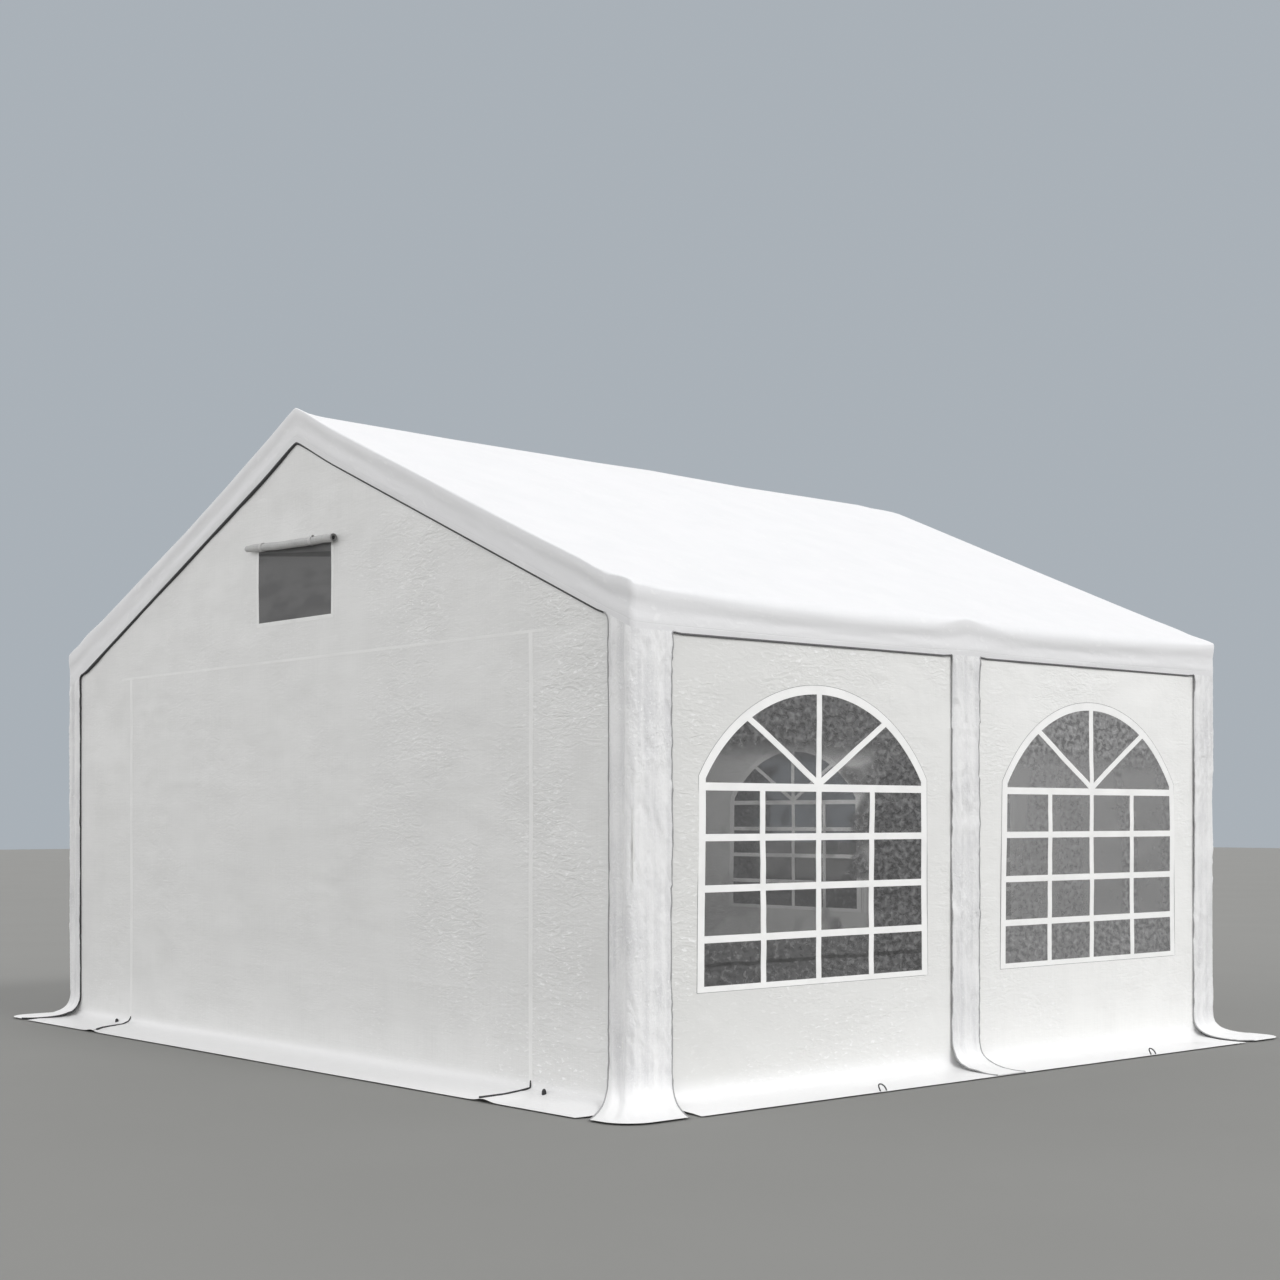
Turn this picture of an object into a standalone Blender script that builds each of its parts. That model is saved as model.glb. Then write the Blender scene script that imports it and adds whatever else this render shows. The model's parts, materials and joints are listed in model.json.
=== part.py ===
"""Gabled party tent with a bolted tube frame and a fitted white tarpaulin skin.

The ridge runs along Y and the front gable faces -Y. The roof cover has a valance on all
four sides, and a cover strip hangs from it over each post. Both gable walls have a mesh
vent. The front one has a wide roll-up door, and the back one has two arched film windows.
Each long wall has one larger such window a bay. The walls, the door and the strips bend
outward at the foot into a skirt on the ground.
"""

import math

import bmesh
import bpy
from mathutils import Matrix, Vector

# Overall sizes in metres, over the outer face of the roof cover
COVER_HALF_WIDTH = 2.466
COVER_HALF_LENGTH = 2.022
EAVE_HEIGHT = 2.045
RIDGE_HEIGHT = 3.110
VALANCE_DROP = 0.165

# Cloth and seats
CLOTH = 0.002
SEAT = 0.0003
ROOF_SEAT = 0.0005
DOOR_SEAM = 0.0005
WALL_RECESS = 0.012

# Tube frame
TUBE_RADIUS = 0.019
BORE_RADIUS = TUBE_RADIUS + SEAT
ARM_RADIUS = 0.0205
PURLIN_ARM_RADIUS = 0.0215
ARM_LENGTH = 0.110
BORE_START = 0.030
TUBE_START = 0.033
RIDGE_SLACK = 0.045
HUB_END = 0.0212
ROUND_SIDES = 12
SHARP_ANGLE = math.radians(40.0)
FOOT_HALF = 0.050
FOOT_THICKNESS = 0.004

# Skirt at the foot of every wall and strip
SKIRT_REACH = 0.270
BEND_RADIUS = 0.100
BEND_STEPS = 6
SIDE_SKIRT_END = 1.885

# Cover strips over the posts
MID_STRIP_HALF = 0.0945
CORNER_GABLE_LEG = 0.145
CORNER_SIDE_LEG = 0.212
CORNER_RADIUS = 0.029
CORNER_HEM_RADIUS = 0.140
CORNER_GABLE_DRAW = 0.200
CORNER_SIDE_DRAW = 0.150
CORNER_STEPS = 5

# Door in the front gable wall and vents in both, seen from outside: the door sits a little to
# the right, and the vent a little to the left
DOOR_CENTRE = 0.0515
DOOR_HALF = 1.7635
DOOR_TOP = 1.910
DOOR_SLIT = 0.012
VENT_CENTRE = -0.0295
VENT_HALF = 0.3275
VENT_FOOT = 2.105
VENT_TOP = 2.440
VENT_LAP = 0.020
VENT_MESH_THICKNESS = 0.001
ROLL_RADIUS = 0.0215
ROLL_ENDS = ((-0.430, 2.480), (0.355, 2.455))

# Arched windows, measured inside their welded border; their sides lean in a little. Those in the
# back gable have the same form at a smaller scale
WINDOW_CENTRE = 0.960
WINDOW_FOOT_HALF = 0.667
WINDOW_HALF = 0.6545
WINDOW_FOOT = 0.468
WINDOW_TOP = 1.667
ARCH_RADIUS = 0.772
BACK_WINDOW_CENTRE = 0.595
BACK_WINDOW_FOOT = 0.584
BACK_WINDOW_SCALE = 0.82
WINDOW_LAP = 0.030
WINDOW_ARC_STEPS = 16
FILM_THICKNESS = 0.001

# Sizes that follow from the ones above
SLOPE = (RIDGE_HEIGHT - EAVE_HEIGHT) / COVER_HALF_WIDTH
PITCH = math.atan(SLOPE)
COVER_MID_X = COVER_HALF_WIDTH - CLOTH / 2
COVER_MID_Y = COVER_HALF_LENGTH - CLOTH / 2
WALL_OUT_X = COVER_HALF_WIDTH - CLOTH - WALL_RECESS
WALL_OUT_Y = COVER_HALF_LENGTH - CLOTH - WALL_RECESS
WALL_MID_X = WALL_OUT_X - CLOTH / 2
WALL_MID_Y = WALL_OUT_Y - CLOTH / 2
WALL_IN_X = WALL_OUT_X - CLOTH
WALL_IN_Y = WALL_OUT_Y - CLOTH
POST_X = WALL_IN_X - SEAT - PURLIN_ARM_RADIUS
POST_Y = WALL_IN_Y - SEAT - PURLIN_ARM_RADIUS
STRIP_LIFT = CLOTH + SEAT
STRIP_REACH = WALL_MID_X + SKIRT_REACH - COVER_MID_X
CUT_OVER = 0.050
WELD_DISTANCE = 0.00001

# Turn of each wall from the front one, which faces -Y
FRONT, RIGHT, BACK, LEFT = (math.radians(a) for a in (0.0, 90.0, 180.0, 270.0))
SIDES = {"left": -1.0, "right": 1.0}
FRAMES = {"front": -POST_Y, "middle": 0.0, "back": POST_Y}


def roof_height(x):
    """Height of the outer face of the roof cover at x."""
    return EAVE_HEIGHT + (COVER_HALF_WIDTH - abs(x)) * SLOPE


def roof_mid_height(x):
    """Height of the middle of the roof cloth at x."""
    return roof_height(x) - CLOTH / 2 / math.cos(PITCH)


def axis_height(x):
    """Height of the tube axes that lie under the roof cover at x."""
    return roof_height(x) - (CLOTH + ROOF_SEAT + PURLIN_ARM_RADIUS) / math.cos(PITCH)


# Scene, collections and materials


def clear_scene():
    """Remove every object of the open file."""
    for item in list(bpy.data.objects):
        bpy.data.objects.remove(item, do_unlink=True)


def new_collection(name):
    """Make a collection and link it to the scene."""
    collection = bpy.data.collections.new(name)
    bpy.context.scene.collection.children.link(collection)
    return collection


def new_material(name, colour, roughness, metallic=0.0, alpha=1.0):
    """Make a Principled material."""
    material = bpy.data.materials.new(name)
    material.use_nodes = True
    shader = material.node_tree.nodes["Principled BSDF"]
    shader.inputs["Base Color"].default_value = (*colour, 1.0)
    shader.inputs["Roughness"].default_value = roughness
    shader.inputs["Metallic"].default_value = metallic
    shader.inputs["Alpha"].default_value = alpha
    return material


clear_scene()
PARTS = new_collection("party_tent")
CUTTERS = new_collection("party_tent_cutters")
ROOF_CLOTH = new_material("roof_cloth", (0.90, 0.91, 0.92), 0.45)
WALL_CLOTH = new_material("wall_cloth", (0.78, 0.78, 0.77), 0.50)
STRIP_CLOTH = new_material("strip_cloth", (0.82, 0.82, 0.83), 0.45)
DOOR_CLOTH = new_material("door_cloth", (0.76, 0.76, 0.75), 0.50)
FLAP_CLOTH = new_material("flap_cloth", (0.80, 0.80, 0.80), 0.50)
WINDOW_FILM = new_material("window_film", (0.35, 0.36, 0.37), 0.12, alpha=0.6)
VENT_MESH = new_material("vent_mesh", (0.09, 0.09, 0.10), 0.80)
STEEL_TUBE = new_material("steel_tube", (0.62, 0.63, 0.64), 0.35, metallic=1.0)
STEEL_JOINT = new_material("steel_joint", (0.52, 0.53, 0.54), 0.45, metallic=1.0)


# Ways of making one piece


def place(name, mesh, material=None, turn=0.0):
    """Put a mesh in the scene, turned about Z. A piece without a material is a cutter."""
    item = bpy.data.objects.new(name, mesh)
    item.rotation_euler = (0.0, 0.0, turn)
    if material is None:
        item.hide_render = True
        item.display_type = "WIRE"
        CUTTERS.objects.link(item)
    else:
        mesh.materials.append(material)
        PARTS.objects.link(item)
    return item


def finish_mesh(name, bm):
    """Turn a bmesh into a mesh with its faces pointing out."""
    bmesh.ops.recalc_face_normals(bm, faces=bm.faces)
    mesh = bpy.data.meshes.new(name)
    bm.to_mesh(mesh)
    bm.free()
    return mesh


def thicken(item, thickness=CLOTH):
    """Give an open surface its cloth thickness, half to each side."""
    solid = item.modifiers.new("cloth", "SOLIDIFY")
    solid.thickness = thickness
    solid.offset = 0.0
    solid.use_even_offset = True
    solid.use_quality_normals = True


def combine(item, other, operation):
    """Add a Boolean modifier that joins or cuts an object with another."""
    boolean = item.modifiers.new(other.name, "BOOLEAN")
    boolean.operation = operation
    boolean.solver = "EXACT"
    boolean.object = other


def bar_mesh(name, bars, radius):
    """Mesh of straight round bars, each given by its two end points."""
    bm = bmesh.new()
    for start, end in bars:
        start, end = Vector(start), Vector(end)
        run = end - start
        stand = run.to_track_quat("Z", "Y").to_matrix().to_4x4()
        bmesh.ops.create_cone(
            bm, cap_ends=True, segments=ROUND_SIDES, radius1=radius, radius2=radius,
            depth=run.length, matrix=Matrix.Translation((start + end) / 2) @ stand)
    mesh = finish_mesh(name, bm)
    mesh.shade_smooth()
    mesh.set_sharp_from_angle(angle=SHARP_ANGLE)
    return mesh


def box_mesh(name, low, high):
    """Mesh of a box between two corners."""
    low, high = Vector(low), Vector(high)
    bm = bmesh.new()
    size = Matrix.Diagonal((*(high - low), 1.0))
    bmesh.ops.create_cube(bm, size=1.0, matrix=Matrix.Translation((low + high) / 2) @ size)
    return finish_mesh(name, bm)


def skirt_profile(reach, lift, top):
    """Points (out, up) of a hanging cloth from its hem over the bend to its top."""
    foot = CLOTH / 2 + lift
    points = [(reach, foot)]
    for step in range(BEND_STEPS + 1):
        angle = math.pi / 2 * step / BEND_STEPS
        out = BEND_RADIUS * (1.0 - math.sin(angle))
        points.append((out, foot + BEND_RADIUS * (1.0 - math.cos(angle))))
    points.append((0.0, top))
    return points


def hanging_cloth(name, plane, half_width, profile, material, turn, centre=0.0, hem_draw=0.0):
    """Cloth that hangs in a plane facing -Y, then turned about Z to its side of the tent."""
    bm = bmesh.new()
    points = [bm.verts.new((-half_width, -(plane + out), up)) for out, up in profile]
    edges = [bm.edges.new(pair) for pair in zip(points, points[1:])]
    swept = bmesh.ops.extrude_edge_only(bm, edges=edges)["geom"]
    moved = [part for part in swept if isinstance(part, bmesh.types.BMVert)]
    bmesh.ops.translate(bm, verts=moved, vec=(2 * half_width, 0.0, 0.0))
    hem = -(plane + profile[0][0])
    for point in bm.verts:
        if math.isclose(point.co.y, hem, abs_tol=SEAT):
            point.co.x -= math.copysign(hem_draw, point.co.x)
    bmesh.ops.translate(bm, verts=bm.verts, vec=(centre, 0.0, 0.0))
    item = place(name, finish_mesh(name, bm), material, turn)
    thicken(item)
    return item


def upright_outline(name, outline, plane, thickness):
    """Flat outline of (x, z) points, stood up in a plane facing -Y, as a curve."""
    curve = bpy.data.curves.new(name, "CURVE")
    curve.dimensions = "2D"
    curve.fill_mode = "BOTH"
    curve.extrude = thickness / 2
    spline = curve.splines.new("POLY")
    spline.points.add(len(outline) - 1)
    for point, (x, z) in zip(spline.points, outline):
        point.co = (x, z, 0.0, 1.0)
    spline.use_cyclic_u = True
    item = bpy.data.objects.new(name, curve)
    item.matrix_world = Matrix.Translation((0.0, -plane, 0.0)) @ Matrix.Rotation(math.pi / 2, 4, "X")
    return item


def outline_mesh(name, outline, plane, thickness):
    """Mesh of an upright outline, with its caps welded to its rim."""
    item = upright_outline(name, outline, plane, thickness)
    CUTTERS.objects.link(item)
    bpy.context.view_layer.update()
    evaluated = item.evaluated_get(bpy.context.evaluated_depsgraph_get())
    bm = bmesh.new()
    bm.from_mesh(bpy.data.meshes.new_from_object(evaluated))
    bm.transform(item.matrix_world)
    bmesh.ops.remove_doubles(bm, verts=bm.verts, dist=WELD_DISTANCE)
    bpy.data.objects.remove(item, do_unlink=True)
    return finish_mesh(name, bm)


def arch_outline(centre, foot, scale, grow):
    """Window outline of (x, z) points, made larger all round by grow."""
    foot_half = WINDOW_FOOT_HALF * scale + grow
    radius = ARCH_RADIUS * scale + grow
    spread = math.asin((WINDOW_HALF * scale + grow) / radius)
    arc_height = foot + (WINDOW_TOP - WINDOW_FOOT - ARCH_RADIUS) * scale
    points = [(centre - foot_half, foot - grow), (centre + foot_half, foot - grow)]
    for step in range(WINDOW_ARC_STEPS + 1):
        angle = spread * (1.0 - 2.0 * step / WINDOW_ARC_STEPS)
        points.append((centre + radius * math.sin(angle), arc_height + radius * math.cos(angle)))
    return points


def make_window(wall, film_name, plane, turn, centre, foot=WINDOW_FOOT, scale=1.0):
    """Arched opening in a wall whose middle lies at plane, and the film behind it."""
    cut_name = film_name + "_cut"
    cut = outline_mesh(cut_name, arch_outline(centre, foot, scale, 0.0), plane, CUT_OVER)
    combine(wall, place(cut_name, cut, turn=turn), "DIFFERENCE")
    film_plane = plane - CLOTH / 2 - SEAT - FILM_THICKNESS / 2
    sheet = arch_outline(centre, foot, scale, WINDOW_LAP)
    film = upright_outline(film_name, sheet, film_plane, FILM_THICKNESS)
    film.matrix_world = Matrix.Rotation(turn, 4, "Z") @ film.matrix_world
    film.data.materials.append(WINDOW_FILM)
    PARTS.objects.link(film)


# Tube frame


def hub_centre(side, y):
    """Centre of an eave joint."""
    return Vector((side * POST_X, y, axis_height(POST_X)))


def make_post(name, side, y):
    """Post with its welded foot plate."""
    hub = hub_centre(side, y)
    head = (hub.x, hub.y, hub.z - TUBE_START)
    foot = (hub.x, hub.y, FOOT_THICKNESS / 2)
    post = place(name, bar_mesh(name, [(foot, head)], TUBE_RADIUS), STEEL_TUBE)
    low = (hub.x - FOOT_HALF, hub.y - FOOT_HALF, 0.0)
    high = (hub.x + FOOT_HALF, hub.y + FOOT_HALF, FOOT_THICKNESS)
    plate = place(name + "_plate", box_mesh(name + "_plate", low, high))
    combine(post, plate, "UNION")


def make_joint(name, hub, arms, purlin_ways):
    """Welded tube joint: a sleeve along Y for the purlins and a sleeve for each other tube."""
    ends = [way * (ARM_LENGTH if way in purlin_ways else HUB_END) for way in (-1.0, 1.0)]
    along = [(hub + Vector((0.0, ends[0], 0.0)), hub + Vector((0.0, ends[1], 0.0)))]
    joint = place(name, bar_mesh(name, along, PURLIN_ARM_RADIUS), STEEL_JOINT)
    for index, arm in enumerate(arms):
        label = f"{name}_arm_{index}"
        mesh = bar_mesh(label, [(hub, hub + arm * ARM_LENGTH)], ARM_RADIUS)
        combine(joint, place(label, mesh), "UNION")
    ways = list(arms) + [Vector((0.0, way, 0.0)) for way in purlin_ways]
    mouth = ARM_LENGTH + CUT_OVER
    bores = [(hub + way * BORE_START, hub + way * mouth) for way in ways]
    combine(joint, place(name + "_bores", bar_mesh(name + "_bores", bores, BORE_RADIUS)), "DIFFERENCE")


def make_tube(name, start, end):
    """Tube that runs from joint to joint and stops inside their sleeves."""
    way = (end - start).normalized() * TUBE_START
    place(name, bar_mesh(name, [(start + way, end - way)], TUBE_RADIUS), STEEL_TUBE)


def make_frame():
    """Posts, joints, rafters and purlins of the three frames and two bays.

    The cover lies slack over the ridge, so the tubes there sit a little lower than its ridge line.
    """
    ridge_z = axis_height(0.0) - RIDGE_SLACK
    down = Vector((0.0, 0.0, -1.0))
    purlin_ways = {"front": (1.0,), "middle": (-1.0, 1.0), "back": (-1.0,)}
    for frame, y in FRAMES.items():
        ridge = Vector((0.0, y, ridge_z))
        slopes = []
        for side, sign in SIDES.items():
            eave = hub_centre(sign, y)
            upward = (ridge - eave).normalized()
            slopes.append(-upward)
            make_post(f"post_{side}_{frame}", sign, y)
            make_joint(f"eave_joint_{side}_{frame}", eave, [down, upward], purlin_ways[frame])
            make_tube(f"rafter_{side}_{frame}", eave, ridge)
        make_joint(f"ridge_joint_{frame}", ridge, slopes, purlin_ways[frame])
    bays = {"front": ("front", "middle"), "back": ("middle", "back")}
    for bay, (near, far) in bays.items():
        for side, sign in SIDES.items():
            start, end = (hub_centre(sign, FRAMES[frame]) for frame in (near, far))
            make_tube(f"eave_purlin_{side}_{bay}", start, end)
        start, end = (Vector((0.0, FRAMES[frame], ridge_z)) for frame in (near, far))
        make_tube(f"ridge_purlin_{bay}", start, end)


# Roof cover


def make_roof_cover():
    """Two slopes and the valance round them, with round corners, as one cloth."""
    flat = [(0.0, COVER_MID_Y)]
    for step in range(CORNER_STEPS + 1):
        angle = math.pi / 2 * step / CORNER_STEPS
        x = COVER_MID_X - CORNER_RADIUS + CORNER_RADIUS * math.sin(angle)
        y = COVER_MID_Y - CORNER_RADIUS + CORNER_RADIUS * math.cos(angle)
        flat.append((x, y))
    stations = [(-x, y) for x, y in reversed(flat[1:])] + flat
    bm = bmesh.new()
    across = [bm.verts.new((x, -y, roof_mid_height(x))) for x, y in stations]
    edges = [bm.edges.new(pair) for pair in zip(across, across[1:])]
    swept = bmesh.ops.extrude_edge_only(bm, edges=edges)["geom"]
    for part in swept:
        if isinstance(part, bmesh.types.BMVert):
            part.co.y = -part.co.y
    rim = [edge for edge in bm.edges if edge.is_boundary]
    skirt = bmesh.ops.extrude_edge_only(bm, edges=rim)["geom"]
    hem = [part for part in skirt if isinstance(part, bmesh.types.BMVert)]
    bmesh.ops.translate(bm, verts=hem, vec=(0.0, 0.0, -VALANCE_DROP))
    thicken(place("roof_cover", finish_mesh("roof_cover", bm), ROOF_CLOTH))


# Cover strips that hang from the valance over the posts


def corner_ring(out, level):
    """Plan points of a corner strip where it stands out by out, with their heights."""
    share = out / STRIP_REACH
    x = COVER_MID_X + out
    y = COVER_MID_Y + out
    radius = CORNER_RADIUS + (CORNER_HEM_RADIUS - CORNER_RADIUS) * share
    gable_end = COVER_MID_X - CORNER_GABLE_LEG + CORNER_GABLE_DRAW * share
    side_end = COVER_MID_Y - CORNER_SIDE_LEG + CORNER_SIDE_DRAW * share
    plan = [(gable_end, -y)]
    for step in range(CORNER_STEPS + 1):
        angle = math.pi / 2 * step / CORNER_STEPS
        plan.append((x - radius + radius * math.sin(angle), -(y - radius + radius * math.cos(angle))))
    plan.append((x, -side_end))
    if level is not None:
        return [(px, py, level) for px, py in plan]
    return [(px, py, roof_mid_height(px) - VALANCE_DROP - SEAT) for px, py in plan]


def make_corner_strip(name, side, end):
    """Strip round a corner post, which flares into a bell at its hem."""
    profile = skirt_profile(STRIP_REACH, STRIP_LIFT, 0.0)[:-1]
    rings = [corner_ring(out, up) for out, up in profile]
    rings.append(corner_ring(0.0, None))
    bm = bmesh.new()
    rows = []
    for ring in rings:
        rows.append([bm.verts.new((px * side, -py * end, pz)) for px, py, pz in ring])
    for low, high in zip(rows, rows[1:]):
        for k in range(len(low) - 1):
            bm.faces.new((low[k], low[k + 1], high[k + 1], high[k]))
    thicken(place(name, finish_mesh(name, bm), STRIP_CLOTH))


def make_cover_strips():
    """Corner strips and the strips over the middle posts."""
    for side, sign in SIDES.items():
        make_corner_strip(f"corner_strip_{side}_front", sign, -1.0)
        make_corner_strip(f"corner_strip_{side}_back", sign, 1.0)
    top = roof_mid_height(COVER_MID_X) - VALANCE_DROP - SEAT
    profile = skirt_profile(STRIP_REACH, STRIP_LIFT, top)
    for side, turn in (("right", RIGHT), ("left", LEFT)):
        hanging_cloth(f"middle_strip_{side}", COVER_MID_X, MID_STRIP_HALF, profile, STRIP_CLOTH, turn)


# Gable walls with the door, the windows and the vents


def make_door(wall, turn):
    """Door opening, cut down through the skirt, and the closed door in it."""
    hem = WALL_OUT_Y + SKIRT_REACH + CUT_OVER
    low = (DOOR_CENTRE - DOOR_HALF, -hem, -CUT_OVER)
    high = (DOOR_CENTRE + DOOR_HALF, CUT_OVER - WALL_IN_Y, DOOR_TOP)
    combine(wall, place("door_cut", box_mesh("door_cut", low, high), turn=turn), "DIFFERENCE")
    profile = skirt_profile(SKIRT_REACH, 0.0, DOOR_TOP - DOOR_SEAM)
    half = DOOR_HALF - DOOR_SEAM
    hanging_cloth("door_front", WALL_MID_Y, half, profile, DOOR_CLOTH, turn, DOOR_CENTRE, DOOR_SLIT)


def make_vent(wall, end, turn):
    """Vent opening, the mesh behind it, and the rolled flap above it."""
    left, right = VENT_CENTRE - VENT_HALF, VENT_CENTRE + VENT_HALF
    cut_name = f"vent_cut_{end}"
    near, far = WALL_IN_Y - CUT_OVER, WALL_OUT_Y + CUT_OVER
    cut = box_mesh(cut_name, (left, -far, VENT_FOOT), (right, -near, VENT_TOP))
    combine(wall, place(cut_name, cut, turn=turn), "DIFFERENCE")

    low = (left - VENT_LAP, -WALL_IN_Y + SEAT, VENT_FOOT - VENT_LAP)
    high = (right + VENT_LAP, low[1] + VENT_MESH_THICKNESS, VENT_TOP + VENT_LAP)
    place(f"vent_mesh_{end}", box_mesh(f"vent_mesh_{end}", low, high), VENT_MESH, turn)

    depth = -(WALL_OUT_Y + SEAT + ROLL_RADIUS)
    start, stop = ((x, depth, z) for x, z in ROLL_ENDS)
    roll_name = f"vent_flap_{end}"
    place(roll_name, bar_mesh(roll_name, [(start, stop)], ROLL_RADIUS), FLAP_CLOTH, turn)


def make_gable(end, turn):
    """Gable wall cut to the roof line, with its vent. Returns the wall."""
    wall_name = f"gable_wall_{end}"
    profile = skirt_profile(SKIRT_REACH, 0.0, RIDGE_HEIGHT)
    wall = hanging_cloth(wall_name, WALL_MID_Y, WALL_IN_X - SEAT, profile, WALL_CLOTH, turn)

    ridge = roof_height(0.0) - (CLOTH + ROOF_SEAT) / math.cos(PITCH)
    over = COVER_HALF_WIDTH + CUT_OVER
    rake = [(-over, ridge - over * SLOPE), (0.0, ridge), (over, ridge - over * SLOPE),
            (over, RIDGE_HEIGHT + CUT_OVER), (-over, RIDGE_HEIGHT + CUT_OVER)]
    roof_cut = outline_mesh(wall_name + "_roof_cut", rake, WALL_MID_Y, 2 * CUT_OVER)
    combine(wall, place(wall_name + "_roof_cut", roof_cut, turn=turn), "DIFFERENCE")
    make_vent(wall, end, turn)
    return wall


def make_gables():
    """Front gable with its door, and back gable with its two windows."""
    make_door(make_gable("front", FRONT), FRONT)
    back_wall = make_gable("back", BACK)
    for side, sign in SIDES.items():
        centre = -sign * BACK_WINDOW_CENTRE
        make_window(back_wall, f"window_film_gable_{side}", WALL_MID_Y, BACK, centre, BACK_WINDOW_FOOT,
                    BACK_WINDOW_SCALE)


# Long walls with their windows


def make_long_wall(side, turn):
    """Long wall with an arched opening in each bay, and the film behind each opening."""
    wall_name = f"long_wall_{side}"
    top = roof_height(WALL_OUT_X) - (CLOTH + ROOF_SEAT) / math.cos(PITCH)
    profile = skirt_profile(SKIRT_REACH, 0.0, top)
    wall = hanging_cloth(wall_name, WALL_MID_X, WALL_OUT_Y, profile, WALL_CLOTH, turn)
    for sign in (-1.0, 1.0):
        bay = "front" if math.cos(turn - RIGHT) * sign < 0 else "back"
        make_window(wall, f"window_film_{side}_{bay}", WALL_MID_X, turn, sign * WINDOW_CENTRE)
        inner, outer = sign * SIDE_SKIRT_END, sign * (WALL_OUT_Y + CUT_OVER)
        low = (min(inner, outer), -(WALL_OUT_X + SKIRT_REACH + CUT_OVER), -CUT_OVER)
        high = (max(inner, outer), -WALL_IN_X + CUT_OVER, CLOTH / 2 + BEND_RADIUS)
        end_name = f"{wall_name}_end_cut_{bay}"
        combine(wall, place(end_name, box_mesh(end_name, low, high), turn=turn), "DIFFERENCE")


def main():
    """Build the whole tent."""
    make_frame()
    make_roof_cover()
    make_cover_strips()
    make_gables()
    make_long_wall("right", RIGHT)
    make_long_wall("left", LEFT)


main()
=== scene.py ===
"""Looks of a white gabled party tent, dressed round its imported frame.

Each cloth is cut flat, as a net of points inside its outline, with u along the cloth and v up
from its hem, both in metres. It is then hung on the tent: bent over the skirt curve at its foot,
given its swells, wrinkles and folds as real relief, and turned to its side. The finishes work in
the same flat u and v, so the weave, the stitching and the wear run with the cut.
"""

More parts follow.
